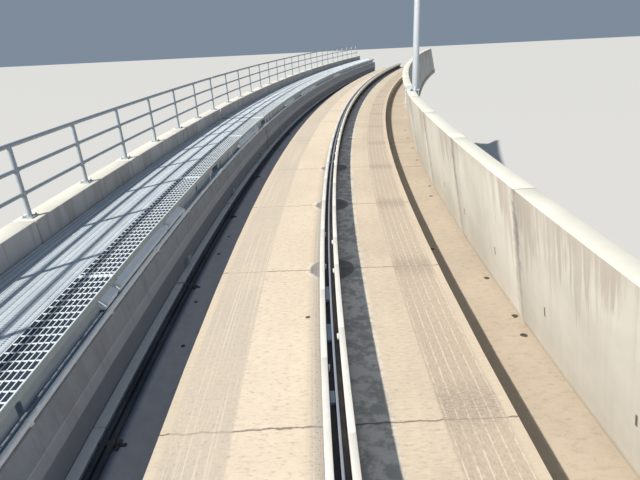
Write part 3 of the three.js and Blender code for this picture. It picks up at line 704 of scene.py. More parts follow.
# Below the band, the upstand's foot gets a deeper painted shade, as it looks down and away from the sky.
painted_foot_shade = fade(height, *FOOT_SHADE_LEVELS, 0.6, 0.0)
upstand_shaded_colour = blend(painted_foot_shade, upstand_shaded_colour, shade(0.23, 0.25, 0.29))
upstand_runs = runs(station, height, *UPSTAND_RUNS)
upstand_shaded_colour = blend(times(upstand_runs, 0.3), upstand_shaded_colour, shade(0.24, 0.23, 0.23))
flat_top = fade(facing("Z"), 0.9, 0.97)
on_deck = times(flat_top, fade(height, 0.0, 0.1, 1.0, 0.0))
colour = blend(on_deck, formed, deck_colour)
colour = blend(times(flat_top, raised), colour, raised_shaded_colour)
colour = blend(times(on_upstand, opposite(flat_top)), colour, upstand_shaded_colour)
feed(colour, shader.inputs["Base Color"])
relief = calc("MULTIPLY_ADD", speckle["Grain"], 0.4, times(speckle["Fine"], 0.4))
relief = calc("SUBTRACT", relief, times(all_seams, opposite(flat_top)))
relief = calc("SUBTRACT", relief, times(ties, 1.5))
feed(relief, bumper.inputs["Height"])
print("girder concrete", len(tree.nodes), "nodes")

# %% [markdown]
# The parapet and the kerb are paler, cast in smooth forms, and their flat tops are almost ivory. Rain
# brings dirt down from the arris in fine vertical runs, most of all beside the joints, and small dark
# dashes show where form ties went through.

# %% Wall concrete
PARAPET_JOINT_FIRST, PARAPET_JOINT_PITCH = 1.75, 2.353
TIE_MARKS = {"first": 0.92, "pitch": 1.3, "height": 0.28, "half_length": 0.042}
# The top, the reach and the spread of each kind of run.
FINE_RUNS, WIDE_RUNS, KERB_RUNS = (1.25, 1.6, 11.0), (1.2, 1.1, 4.5), (0.9, 0.8, 6.0)
tree, shader, bumper, place, speckle = start_concrete("wall_concrete", 0.85, bump=0.25, grain=1.0)
station, lateral, height = place["Station"], place["Lateral"], place["Height"]
flat_top = fade(facing("Z"), 0.75, 0.95)
upright = opposite(flat_top)
right_side = fade(lateral, 0.0, 0.1)
left_side = opposite(right_side)
colour = blend(speckle["Broad"], shade(0.53, 0.51, 0.455), shade(0.65, 0.63, 0.57))
kerb_colour = blend(speckle["Broad"], shade(0.5, 0.49, 0.48), shade(0.58, 0.57, 0.56))
colour = blend(left_side, colour, kerb_colour)

joint_places = {"First": PARAPET_JOINT_FIRST, "Pitch": PARAPET_JOINT_PITCH}
joint_gap = use_group(repeat_group, Value=station, Half_Width=0.03, Softness=0.9, **joint_places)
stain_place = node("ShaderNodeCombineXYZ", X=times(station, 0.8), Y=7.1, Z=0.0)
stain_noise = node("ShaderNodeTexNoise", Vector=stain_place, Scale=1.0, Detail=2.0)
stained = calc("MULTIPLY_ADD", joint_gap["Mask"], 0.5, fade(stain_noise, 0.4, 0.6, 0.0, 0.6))
stained = either(stained, fade(station, 4.6, 5.3, 0.8, 0.0))
fine_runs, wide_runs = runs(station, height, *FINE_RUNS), runs(station, height, *WIDE_RUNS)
right_runs = times(right_side, either(times(fine_runs, 0.75), wide_runs), stained)
left_runs = times(left_side, runs(station, height, *KERB_RUNS))
runs_here = times(upright, calc("ADD", right_runs, times(left_runs, 0.6)))
colour = blend(times(runs_here, 0.8), colour, shade(0.36, 0.315, 0.265))
haze = drawn_noise((station, 14.0), (height, 0.6), 4.0)
hazy = times(upright, fade(haze, 0.45, 0.75, 0.0, 0.3))
colour = blend(hazy, colour, shade(0.5, 0.46, 0.41))
under_arris = times(right_side, upright, fade(height, 1.08, 1.22, 0.0, 0.3))
colour = blend(under_arris, colour, shade(0.45, 0.4, 0.35))
print("wall shades", len(tree.nodes), "nodes so far")

# %% [markdown]
# Dark smears lie to both sides of each panel joint, fading towards the foot. The small dark tie marks, the
# pits of trapped air and the paler, cleaner tops come last.

# %% Joints, ties and tops of the walls
smear_edge = calc("MULTIPLY_ADD", speckle["Fine"], 0.06, joint_gap["Distance"])
by_joint = fade(smear_edge, 0.03, 0.13, 0.9, 0.0)
smear = times(right_side, upright, by_joint, fade(height, -0.1, 0.9, 0.35, 1.0))
colour = blend(smear, colour, shade(0.24, 0.22, 0.2))
tie_along = repeats(station, TIE_MARKS["first"], TIE_MARKS["pitch"], 0.009, 0.006)
tie_up = line_at(height, TIE_MARKS["height"], TIE_MARKS["half_length"], 0.008)
ties = times(tie_along, tie_up, right_side)
colour = blend(times(ties, 0.95), colour, shade(0.1, 0.09, 0.085))
colour = blend(times(speckle["Pits"], upright, 0.3), colour, shade(0.35, 0.31, 0.27))
top_colour = blend(speckle["Broad"], shade(0.71, 0.7, 0.62), shade(0.78, 0.765, 0.69))
top_colour = blend(times(speckle["Fine"], 0.12), top_colour, shade(0.55, 0.53, 0.47))
colour = blend(flat_top, colour, top_colour)
feed(colour, shader.inputs["Base Color"])
relief = calc("MULTIPLY_ADD", speckle["Grain"], 0.3, times(speckle["Fine"], 0.3))
relief = calc("SUBTRACT", relief, calc("ADD", times(speckle["Pits"], 0.5), ties))
feed(relief, bumper.inputs["Height"])
print("wall concrete", len(tree.nodes), "nodes")

# %% [markdown]
# The piers show the seams of their round forms, tie holes in rows, long streaks down from the head, and
# splashed earth near the ground.

# %% Pier concrete
PIER_STATIONS = {"near": 2.5, "middle": JOINT, "far": 37.4}
GIRDER_CENTRE = -0.6
PIER_RINGS = {"first": -6.7, "pitch": 1.22}
PIER_TIES = {"low": -6.4, "lift": 0.61, "side": -0.15, "pitch": 0.9, "half_width": 0.016}
PIER_RUNS = (-2.2, 4.5, 3.0)  # top, reach and spread
tree, shader, bumper, place, speckle = start_concrete("pier_concrete", 0.9, bump=0.35, grain=1.2)
station, lateral, height = place["Station"], place["Lateral"], place["Height"]
colour = blend(speckle["Broad"], shade(0.47, 0.455, 0.43), shade(0.58, 0.565, 0.535))
level_seams = repeats(height, PIER_RINGS["first"], PIER_RINGS["pitch"], 0.005, 0.006)
side_seam = line_at(lateral, GIRDER_CENTRE, 0.006, 0.006)
end_seams = [line_at(station, at, 0.006, 0.006) for at in PIER_STATIONS.values()]
all_seams = either(level_seams, side_seam, *end_seams)
colour = blend(times(all_seams, 0.5), colour, shade(0.27, 0.26, 0.24))
tie_up = repeats(height, PIER_TIES["low"], PIER_TIES["lift"], PIER_TIES["half_width"], 0.005)
tie_side = repeats(lateral, PIER_TIES["side"], PIER_TIES["pitch"], PIER_TIES["half_width"], 0.005)
colour = blend(times(tie_up, tie_side, 0.6), colour, shade(0.2, 0.19, 0.18))
streaks = runs(calc("ADD", station, lateral), height, *PIER_RUNS)
colour = blend(times(streaks, 0.45), colour, shade(0.24, 0.23, 0.21))
ground = fade(calc("MULTIPLY_ADD", speckle["Fine"], 0.4, height), -7.3, -6.6, 0.5, 0.0)
colour = blend(ground, colour, shade(0.3, 0.27, 0.23))
colour = blend(times(speckle["Pits"], 0.4), colour, shade(0.28, 0.27, 0.25))
feed(colour, shader.inputs["Base Color"])
relief = calc("MULTIPLY_ADD", speckle["Grain"], 0.35, times(speckle["Fine"], 0.35))
relief = calc("SUBTRACT", relief, calc("ADD", all_seams, speckle["Pits"]))
feed(relief, bumper.inputs["Height"])
print("pier concrete", len(tree.nodes), "nodes")

# %% [markdown]
# ## Metals, mouldings and cable
# Galvanised steel has a faint crystal pattern and dulls unevenly. The rail covers are bleached mouldings
# with dirt in their corners, and the guide beam is dusty rolled steel with some rust.

# %% Galvanised steel
def galvanised_finish(name, dark, light, dusty, metal, painted_side_shade=None, seams=None):
    """Crystals, dust and wear. Right-hand faces can get a darker painted shade, and seams run along it."""
    tree, shader, bumper = start_material(name, 0.45, metallic=metal, bump=0.12)
    place = node("ShaderNodeTexCoord", "Object")
    cells = node("ShaderNodeTexVoronoi", "Color", Vector=place, Scale=55.0)
    cell_value = node("ShaderNodeRGBToBW", Color=cells)
    speckle = use_group(speckle_group, Size=0.5)
    share = calc("MULTIPLY_ADD", cell_value, 0.35, times(speckle["Broad"], 0.65))
    colour = blend(share, dark, light)
    dust = times(speckle["Fine"], fade(speckle["Broad"], 0.2, 0.9), 0.55)
    colour = blend(dust, colour, dusty)
    if painted_side_shade:
        colour = blend(fade(facing("X"), 0.5, 0.7), colour, shade(*painted_side_shade))
    if seams:
        lateral = use_group(place_group)["Lateral"]
        lines = repeats(lateral, *seams, 0.002, 0.003)
        colour = blend(times(lines, 0.8), colour, shade(0.07, 0.09, 0.12))
    feed(colour, shader.inputs["Base Color"])
    feed(calc("MULTIPLY_ADD", share, 0.22, 0.36), shader.inputs["Roughness"])
    feed(calc("MULTIPLY_ADD", dust, -0.8 * metal, metal), shader.inputs["Metallic"])
    feed(speckle["Grain"], bumper.inputs["Height"])


WALKWAY_SEAMS = (-3.07, 0.067)
# The right-hand faces of the grating's bars get this painted shade.
BAR_SIDE_SHADE = (0.09, 0.12, 0.16)
GALVANISED = {
    # Dark and light shades, the shade of dust, how metallic it is, and what else it has.
    "galvanised_steel": ((0.27, 0.33, 0.41), (0.38, 0.45, 0.54), (0.36, 0.39, 0.42), 0.3, {}),
    "walkway_steel": ((0.44, 0.5, 0.56), (0.58, 0.64, 0.7), (0.46, 0.5, 0.54), 0.1, {"seams": WALKWAY_SEAMS}),
    "grating_steel": ((0.76, 0.84, 0.9), (0.86, 0.93, 0.98), (0.7, 0.76, 0.8), 0.05, {"painted_side_shade": BAR_SIDE_SHADE}),
    "bright_steel": ((0.82, 0.86, 0.9), (0.92, 0.95, 0.98), (0.75, 0.77, 0.78), 0.0, {}),
    # The hoods are pale, and their blue tint is a painted reflection of the sky.
    "hood_steel": ((0.84, 0.92, 1.0), (0.92, 0.96, 1.0), (0.8, 0.88, 0.97), 0.0, {}),
    "edge_steel": ((0.36, 0.43, 0.47), (0.44, 0.52, 0.56), (0.36, 0.41, 0.43), 0.05, {}),
}
for name, (dark, light, dusty, metal, more) in GALVANISED.items():
    galvanised_finish(name, shade(*dark), shade(*light), shade(*dusty), metal, **more)
print("galvanised finishes ready")

# %% [markdown]
# The other finishes are simpler: two close shades, with grime in patches that also change the gloss.

# %% Painted, moulded and rolled finishes
def plain_finish(name, first, second, grime, roughness, metallic, grime_share):
    """Two close shades, with grime in patches."""
    tree, shader, bumper = start_material(name, roughness, metallic=metallic, bump=0.15)
    speckle = use_group(speckle_group, Size=0.6)
    colour = blend(speckle["Broad"], first, second)
    patches = times(speckle["Fine"], fade(speckle["Broad"], 0.1, 0.8), grime_share)
    colour = blend(patches, colour, grime)
    feed(colour, shader.inputs["Base Color"])
    feed(calc("MULTIPLY_ADD", speckle["Fine"], 0.2, roughness - 0.1), shader.inputs["Roughness"])
    feed(speckle["Grain"], bumper.inputs["Height"])


PLAIN_FINISHES = {
    # Two close shades, the shade of grime, the roughness, how metallic it is and the share of grime.
    "rail_cover": ((0.72, 0.705, 0.665), (0.8, 0.785, 0.745), (0.55, 0.52, 0.47), 0.5, 0.0, 0.35),
    "signal_rail": ((0.34, 0.37, 0.44), (0.45, 0.48, 0.56), (0.25, 0.24, 0.24), 0.45, 0.4, 0.5),
    "dark_steel": ((0.05, 0.05, 0.055), (0.09, 0.085, 0.08), (0.2, 0.15, 0.11), 0.65, 0.4, 0.5),
    "mast_paint": ((0.5, 0.56, 0.62), (0.58, 0.64, 0.7), (0.5, 0.5, 0.49), 0.4, 0.2, 0.5),
    "feed_paint": ((0.58, 0.6, 0.62), (0.66, 0.68, 0.7), (0.4, 0.39, 0.37), 0.45, 0.2, 0.5),
    "rail_paint": ((0.37, 0.43, 0.48), (0.44, 0.5, 0.55), (0.36, 0.37, 0.36), 0.5, 0.15, 0.5),
    "cable_jacket": ((0.03, 0.036, 0.05), (0.045, 0.052, 0.07), (0.1, 0.1, 0.11), 0.8, 0.0, 0.5),
    "duct_grey": ((0.66, 0.65, 0.64), (0.74, 0.73, 0.72), (0.52, 0.51, 0.5), 0.7, 0.0, 0.3),
    "box_grey": ((0.36, 0.42, 0.44), (0.44, 0.5, 0.52), (0.3, 0.32, 0.33), 0.5, 0.1, 0.5),
}
for name, (first, second, grime, roughness, metallic, grime_share) in PLAIN_FINISHES.items():
    plain_finish(name, shade(*first), shade(*second), shade(*grime), roughness, metallic, grime_share)
print("other finishes ready")

# %% [markdown]
# Each solid of the CAD names the slot of its material, and each slot has a finish of the same name. So the
# pieces that stay as they are in the CAD get their looks from one loop.

# %% Put the finishes on the CAD nodes
for part in frame["record"]["subparts"]:
    solid = nodes[part["node"]]
    solid.data.materials.clear()
    solid.data.materials.append(finishes[part["material_slot"]])
print("finished", len(nodes), "CAD nodes")

# %% [markdown]
# ## Small tools for modelling
# These do by script what a modeller does by hand: add a block at its size, pick vertices, edges or faces by
# their place, cut a long piece into short lengths so that it can bend, and apply a modifier.

# %% Primitives at their size and place
def only(piece):
    bpy.ops.object.select_all(action="DESELECT")
    piece.select_set(True)
    bpy.context.view_layer.objects.active = piece


def settle(piece):
    only(piece)
    bpy.ops.object.transform_apply(location=True, rotation=True, scale=True)
    return piece


def block(name, sides, ends, levels):
    """A block from its distances from the centreline, its stations and its heights."""
    bpy.ops.object.select_all(action="DESELECT")
    low = Vector((sides[0], ends[0], levels[0] + STATION_ZERO.z))
    high = Vector((sides[1], ends[1], levels[1] + STATION_ZERO.z))
    bpy.ops.mesh.primitive_cube_add(size=1, location=(low + high) / 2, scale=high - low)
    piece = bpy.context.object
    piece.name = name
    return settle(piece)


def rod(name, place, radius, length, axis="Y", sides=16):
    """A round bar along an axis, with its middle at (lateral, station, height)."""
    turn = {"X": (0, math.pi / 2, 0), "Y": (math.pi / 2, 0, 0), "Z": (0, 0, 0)}[axis]
    bpy.ops.object.select_all(action="DESELECT")
    where = {"location": (place[0], place[1], place[2] + STATION_ZERO.z), "rotation": turn}
    bpy.ops.mesh.primitive_cylinder_add(vertices=sides, radius=radius, depth=length, **where)
    piece = bpy.context.object
    piece.name = name
    return settle(piece)


print("primitives ready")

# %% [markdown]
# A piece is edited as in edit mode: some of its elements are selected by a test, and then they are moved,
# widened, extruded or cut. The ends of a length are often given about its middle.

# %% Editing a piece
def pick(piece, kind, test):
    """Goes into edit mode and selects the verts, edges or faces that pass the test."""
    only(piece)
    bpy.ops.object.mode_set(mode="EDIT")
    bpy.ops.mesh.select_mode(type={"verts": "VERT", "edges": "EDGE", "faces": "FACE"}[kind])
    bpy.ops.mesh.select_all(action="DESELECT")
    form = bmesh.from_edit_mesh(piece.data)
    for item in getattr(form, kind):
        if test(item):
            item.select_set(True)
    bmesh.update_edit_mesh(piece.data)


def pick_top(piece):
    pick(piece, "faces", lambda f: f.normal.z > 0.9)


def extrude(across, along, up):
    bpy.ops.mesh.extrude_region_move(TRANSFORM_OT_translate={"value": (across, along, up)})


def leave():
    bpy.ops.object.mode_set(mode="OBJECT")


def length_of(edge, axis):
    return abs(getattr(edge.verts[0].co, axis) - getattr(edge.verts[1].co, axis))


def shift_verts(piece, test, move):
    pick(piece, "verts", test)
    bpy.ops.transform.translate(value=move)
    leave()


def about(middle, half):
    """The two ends of a length, from its middle and half its size."""
    return (middle - half, middle + half)


def cut_short(piece, step=0.4):
    """Cuts the long edges of a straight piece into lengths of about one step."""
    length = piece.dimensions.y
    cuts = math.ceil(length / step) - 1
    if cuts > 0:
        pick(piece, "edges", lambda e: length_of(e, "y") > 0.6 * length)
        bpy.ops.mesh.subdivide(number_cuts=cuts)
        leave()
    return piece


def rows_of(piece):
    """The stations of a straight piece's cross-sections, to the millimetre."""
    return sorted({round(v.co.y, 3) for v in piece.data.vertices})


def shift_row(piece, row, move):
    shift_verts(piece, lambda v: round(v.co.y, 3) == row, move)


print("editing helpers ready")

# %% [markdown]
# Modifiers are applied at once. Long pieces come in lengths with joints between them, and small fittings
# are repeated at an even pitch as far as they fit into a span.

# %% Modifiers, and lengths of long pieces
def modify(piece, kind, **settings):
    only(piece)
    modifier = piece.modifiers.new(kind.lower(), kind)
    for name, value in settings.items():
        setattr(modifier, name, value)
    bpy.ops.object.modifier_apply(modifier=modifier.name)
    return piece


def round_edges(piece, width, segments=2, angle=40.0):
    limit = {"limit_method": "ANGLE", "angle_limit": math.radians(angle)}
    return modify(piece, "BEVEL", width=width, segments=segments, **limit)


def repeat_along(piece, pitch, count):
    step = {"use_constant_offset": True, "constant_offset_displace": (0.0, pitch, 0.0)}
    return modify(piece, "ARRAY", count=count, use_relative_offset=False, **step)


def repeat_between(piece, first, last, pitch):
    """Repeats a piece made at the first place for as long as it fits before the last."""
    return repeat_along(piece, pitch, int((last - first) / pitch) + 1)


def within(places, start, end, margin):
    """Those of some stations that lie well inside a span."""
    return [at for at in places if start + margin < at < end - margin]


def lengths_between(start, end, cuts, gap):
    """The ends of each length of a long piece that is cut at some stations, with a gap at each."""
    starts = [start, *[at + gap / 2 for at in cuts]]
    return list(zip(starts, [*[at - gap / 2 for at in cuts], end]))


print("modifiers ready")

# %% [markdown]
# The parts of a piece are joined while they are still straight. Then the piece is bent along the helper
# curve and gets its finish and the body that it moves with, and the CAD nodes that it stands for are hidden.

# %% Joining, bending and finishing
def join_all(name, pieces):
    bpy.ops.object.select_all(action="DESELECT")
    for piece in pieces:
        piece.select_set(True)
    bpy.context.view_layer.objects.active = pieces[0]
    bpy.ops.object.join()
    pieces[0].name = name
    return pieces[0]


def bend_to_track(piece):
    return modify(piece, "CURVE", object=helper, deform_axis="POS_Y")


def finish_piece(piece, span, finish, replaced=(), smooth=35.0):
    """Shades the piece, gives it its finish and its body, and hides the CAD nodes that it stands for."""
    only(piece)
    bpy.ops.object.shade_smooth_by_angle(angle=math.radians(smooth))
    piece.data.materials.clear()
    piece.data.materials.append(finishes[finish])
    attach(piece, BODIES[span])
    if replaced:
        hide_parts(*replaced)
    print(piece.name, len(piece.data.polygons), "faces")
    return piece


def span_of(station):
    return "near" if station < JOINT else "far"


def finish_by_span(name, placed, finish):
    """Joins small parts, each given with its station, into one piece for each span."""
    for span in SPANS:
        parts = [part for at, part in placed if span_of(at) == span]
        finish_piece(bend_to_track(join_all(f"{name}_{span}", parts)), span, finish)


print("modelling helpers ready")

# %% [markdown]
# ## Walkway deck
# Long planks with raised rims and pressed ribs lie side by side. A plank is a block made into a folded
# sheet. One rib is modelled, and the Array modifier copies it along the walkway.

# %% Planks
WALK_TOP, PLANK_DEPTH, SHEET, PLANK_GAP = 0.658, 0.03, 0.003, 0.01
PLANK_SEAMS = (-3.12, -3.07, -2.936, -2.802, -2.668, -2.534, -2.4, -2.337)
RIM_WIDTH, RIM_HEIGHT = 0.006, 0.002
RIB_PITCH, RIB_WIDTH, RIB_HEIGHT, RIB_DEPTH, RIB_INSET = 0.025, 0.008, 0.003, 0.002, 0.01


def plank(left, right_edge, start, end):
    """A folded sheet: a block without its underside and ends, its long rims raised, given a wall."""
    piece = block("plank", (left, right_edge), (start, end), (WALK_TOP - PLANK_DEPTH, WALK_TOP))
    pick(piece, "faces", lambda f: f.normal.z < -0.9 or abs(f.normal.y) > 0.9)
    bpy.ops.mesh.delete(type="FACE")
    leave()
    top = WALK_TOP + STATION_ZERO.z - 0.001
    pick(piece, "edges", lambda e: all(v.co.z > top for v in e.verts) and length_of(e, "y") > 0.1)
    bpy.ops.mesh.bevel(offset=RIM_WIDTH, segments=2)
    leave()

    def on_rim(vert):
        from_edge = min(vert.co.x - left, right_edge - vert.co.x)
        return 0.0005 < from_edge <= RIM_WIDTH + 0.001 and vert.co.z > top - 0.006

    shift_verts(piece, on_rim, (0, 0, RIM_HEIGHT))
    cut_short(piece)
    return modify(piece, "SOLIDIFY", thickness=SHEET, offset=-1.0)


def tread_ribs(start, end):
    """The pressed ribs across the planks, one modelled and then repeated."""
    sides = (PLANK_SEAMS[1] + RIB_INSET, PLANK_SEAMS[-1] - RIB_INSET)
    levels = (WALK_TOP - RIB_DEPTH, WALK_TOP + RIB_HEIGHT)
    rib = block("rib", sides, (start, start + RIB_WIDTH), levels)
    pick_top(rib)
    bpy.ops.transform.resize(value=(1.0, 0.5, 1.0))
    leave()
    return repeat_along(rib, RIB_PITCH, int((end - start) / RIB_PITCH))


print("plank helpers ready")

# %% [markdown]
# The third of the walkway that is nearest the track is open grating: eight flat bars on edge in panels,
# with cross rods every 10 cm a little below their tops. A flat band closes its edge to the track.

# %% Open grating
GRATING_SIDES = (-2.333, -2.0)
EDGE_BAND, EDGE_BAND_DEPTH = (-2.0, -1.994), 0.06
BAR_COUNT, BAR_THICKNESS = 8, 0.008
CROSS_PITCH, CROSS_SIZE, CROSS_DROP = 0.1, 0.008, 0.001
CROSS_FIRST, CROSS_END_MARGIN = 0.05, 0.06
GRATING_JOINTS = (3.9, 7.1, 10.3, 15.9, 19.1, 22.3, 25.5, 28.7, 31.9, 35.1, 38.3)
GRATING_GAP = 0.008


def grating_panel(start, end):
    """Flat bars on edge between two banding bars, with cross rods a little below their tops."""
    left, right_edge = GRATING_SIDES
    bar_pitch = (right_edge - left - BAR_THICKNESS) / (BAR_COUNT - 1)
    levels = (WALK_TOP - PLANK_DEPTH, WALK_TOP)
    bars = []
    for index in range(BAR_COUNT):
        at = left + index * bar_pitch
        bars.append(cut_short(block("bar", (at, at + BAR_THICKNESS), (start, end), levels)))
    for at in (start, end - BAR_THICKNESS):
        bars.append(block("band", GRATING_SIDES, (at, at + BAR_THICKNESS), levels))
    top = WALK_TOP - CROSS_DROP
    first = start + CROSS_FIRST
    cross = block("cross", GRATING_SIDES, (first, first + CROSS_SIZE), (top - CROSS_SIZE, top))
    repeat_along(cross, CROSS_PITCH, int((end - start - CROSS_END_MARGIN) / CROSS_PITCH) + 1)
    return join_all("grating_panel", [*bars, cross])


print("grating helper ready")

# %% [markdown]
# Planks, grating and edge band are laid in each span, 2 cm short of its ends. The grating and the band
# share their joints.

# %% Lay the walkway
for span, (start, end) in SPANS.items():
    start, end = start + 0.02, end - 0.02
    parts = [
        plank(left + PLANK_GAP / 2, right_edge - PLANK_GAP / 2, start, end)
        for left, right_edge in zip(PLANK_SEAMS[:-1], PLANK_SEAMS[1:])
    ]
    parts.append(tread_ribs(start, end))
    planks = bend_to_track(join_all(f"walkway_planks_{span}", parts))
    finish_piece(planks, span, "walkway_steel", (f"walkway_grating_{span}",))

    cuts = within(GRATING_JOINTS, start, end, 0.5)
    panel_ends = lengths_between(start, end, cuts, GRATING_GAP)
    panels = [grating_panel(*ends) for ends in panel_ends]
    grating = bend_to_track(join_all(f"walkway_open_grating_{span}", panels))
    finish_piece(grating, span, "grating_steel")

    band_levels = (WALK_TOP - EDGE_BAND_DEPTH, WALK_TOP)
    bands = [cut_short(block("band", EDGE_BAND, ends, band_levels)) for ends in panel_ends]
    edge_band = bend_to_track(join_all(f"walkway_edge_band_{span}", bands))
    finish_piece(edge_band, span, "edge_steel")

# %% [markdown]
# ## Parapet and kerb
# Both are cast in panels with a narrow open joint between them. A parapet panel is a block whose top is
# drawn in to the wall's slope, with a foot extruded down and eased edges. Its joints come every 2.35 m, and
# the kerb's just before every second post. From 11 m on the parapet draws away from the track's curve, so
# each cross-section of the straight wall is moved out before the wall is bent.

# %% Parapet panels
PARAPET_JOINTS = [PARAPET_JOINT_FIRST + PARAPET_JOINT_PITCH * i for i in range(16)]
PARAPET_FOOT = {"toe": 1.99, "fillet": 1.93, "outer": 2.215, "fillet_z": -0.11, "z": -0.2397}
PARAPET_TOP = {"inner": 1.692, "outer": 1.901, "z": 1.231}
PARAPET_ARRIS, PANEL_GAP = 0.008, 0.012


def panel_lengths(joints, start, end):
    """Where the panels start and end within a span; none is shorter than 20 cm."""
    return lengths_between(start, end, within(joints, start, end, 0.2), PANEL_GAP)


def parapet_panel(start, end):
    """A panel from its fillet up, and then its foot, extruded down and drawn in to the toe."""
    foot, top, fillet = PARAPET_FOOT, PARAPET_TOP, PARAPET_FOOT["fillet"]
    lean = (foot["outer"] - top["outer"]) / (top["z"] - foot["z"])
    outer = foot["outer"] - lean * (foot["fillet_z"] - foot["z"])
    panel = block("panel", (fillet, outer), (start, end), (foot["fillet_z"], top["z"]))
    middle = (fillet + outer) / 2
    above = STATION_ZERO.z + 1
    shift_verts(panel, lambda v: v.co.z > above and v.co.x < middle, (top["inner"] - fillet, 0, 0))
    shift_verts(panel, lambda v: v.co.z > above and v.co.x > middle, (top["outer"] - outer, 0, 0))
    pick(panel, "faces", lambda f: f.normal.z < -0.9)
    extrude(0, 0, foot["z"] - foot["fillet_z"])
    leave()
    below = STATION_ZERO.z + foot["z"] + 0.01
    shift_verts(panel, lambda v: v.co.z < below and v.co.x < middle, (foot["toe"] - fillet, 0, 0))
    shift_verts(panel, lambda v: v.co.z < below and v.co.x > middle, (foot["outer"] - outer, 0, 0))
    return cut_short(round_edges(panel, PARAPET_ARRIS))


def flare_out(piece):
    """Moves each cross-section of a straight piece out by the flare at its station."""
    for row in rows_of(piece):
        if flare(row) > 0:
            shift_row(piece, row, (flare(row), 0, 0))
    return piece


for span, (start, end) in SPANS.items():
    panels = [parapet_panel(*ends) for ends in panel_lengths(PARAPET_JOINTS, start, end)]
    parapet = bend_to_track(flare_out(join_all(f"parapet_panels_{span}", panels)))
    finish_piece(parapet, span, "wall_concrete", (f"parapet_{span}",))

# %% [markdown]
# The kerb on the left is a plain block in panels. It needs no flare, as it follows the curve all along.

# %% Kerb panels
KERB_SIDES, KERB_LEVELS = (-3.398, -3.129), (0.3953, 0.921)
POSTS = {"near": (1.003, 1.2818, 10), "far": (13.897, 1.2926, 20)}
KERB_JOINT_SHIFT, KERB_ARRIS = -0.12, 0.014

for span, (start, end) in SPANS.items():
    first, pitch, count = POSTS[span]
    joints = [first + pitch * i + KERB_JOINT_SHIFT for i in range(1, count, 2)]
    panels = [
        cut_short(round_edges(block("panel", KERB_SIDES, ends, KERB_LEVELS), KERB_ARRIS))
        for ends in panel_lengths(joints, start, end)
    ]
    kerb = bend_to_track(join_all(f"kerb_panels_{span}", panels))
    finish_piece(kerb, span, "wall_concrete", (f"kerb_{span}",))

# %% [markdown]
# ## Handrail
# Round posts stand on bolted plates on the kerb, and three round rails run through them. One post is made
# with its plate, bolts and collars, and the Array modifier repeats it at the posts' pitch.

# %% Handrail
POST_PLACE, POST_RADIUS, POST_HEIGHT = -3.264, 0.028, 0.783
RAIL_LEVELS = {0.262: 0.021, 0.525: 0.021, 0.783: 0.025}
COLLAR = {"levels": (0.262, 0.525), "proud": 0.006, "length": 0.085}
PLATE_HALF, PLATE_THICKNESS, BOLT_OUT = 0.065, 0.012, 0.045
KERB_TOP, REST_GAP = KERB_LEVELS[1], 0.0003
CORNERS = ((-1, -1), (-1, 1), (1, -1), (1, 1))


def rail_post(station):
    """One post, with its plate, bolts, nuts and collars."""
    seat = KERB_TOP + PLATE_THICKNESS
    length = POST_HEIGHT - PLATE_THICKNESS
    plate_levels = (KERB_TOP + REST_GAP, seat)
    plate = block("plate", about(POST_PLACE, PLATE_HALF), about(station, PLATE_HALF), plate_levels)
    parts = [round_edges(plate, 0.002, 1)]
    parts.append(rod("post", (POST_PLACE, station, seat + length / 2 - 0.001), POST_RADIUS, length, "Z"))
    for level in COLLAR["levels"]:
        radius = RAIL_LEVELS[level] + COLLAR["proud"]
        parts.append(rod("collar", (POST_PLACE, station, KERB_TOP + level), radius, COLLAR["length"]))
    for side, end in CORNERS:
        at = (POST_PLACE + side * BOLT_OUT, station + end * BOLT_OUT)
        parts.append(rod("nut", (*at, seat + 0.005), 0.011, 0.01, "Z", 6))
        parts.append(rod("stud", (*at, seat + 0.012), 0.0055, 0.024, "Z", 8))
    return join_all("post", parts)


for span, (start, end) in SPANS.items():
    first, pitch, count = POSTS[span]
    posts = repeat_along(rail_post(first), pitch, count)
    rails = []
    for level, radius in RAIL_LEVELS.items():
        rail = rod("rail", (POST_PLACE, (start + end) / 2, KERB_TOP + level), radius, end - start)
        rails.append(cut_short(round_edges(rail, 0.004, 1, 60.0)))
    handrail = bend_to_track(join_all(f"handrail_tubes_{span}", [posts, *rails]))
    finish_piece(handrail, span, "rail_paint", (f"handrail_{span}",))

# %% [markdown]
# ## Cable hoods
# Smooth folded covers close the cable tray in some bays. Each is a block whose top is cut in three, so that
# its long edges can be moved to the folds: a foot on the left, a shoulder, the ridge and an eave on the
# right. Its underside and ends come off, the rest is given a sheet wall, and a plate closes each end.

# %% Cable hoods
HOOD_SIDES, HOOD_EAVE_RISE = (-2.206, -2.012), 0.065
HOOD_FOLDS = ((-2.206, 0.004), (-2.12, 0.05), (-2.062, 0.11), (-1.982, HOOD_EAVE_RISE))
HOOD_SHEET, HOOD_CAP_INSET = 0.003, 0.0032
RAISED_DECK, TRAY_HEIGHT = 0.3953, 0.045
HOOD_FOOT = RAISED_DECK + TRAY_HEIGHT + REST_GAP
BRACKET_FIRST, BRACKET_PITCH, BAY_END_GAP = 0.87, 1.525, 0.03
HOODS = {
    # The bay between two brackets, and the shares of it at which the hood starts and ends.
    "near_1": (1, 0.83, 1.0),
    "near_2": (2, 0.0, 1.0),
    "near_3": (3, 0.0, 0.41),
    "near_4": (6, 0.0, 1.0),
    "near_5": (7, 0.0, 0.32),
    "far_1": (10, 0.0, 1.0),
    "far_2": (12, 0.0, 1.0),
    "far_3": (13, 0.0, 1.0),
    "far_4": (17, 0.0, 1.0),
}


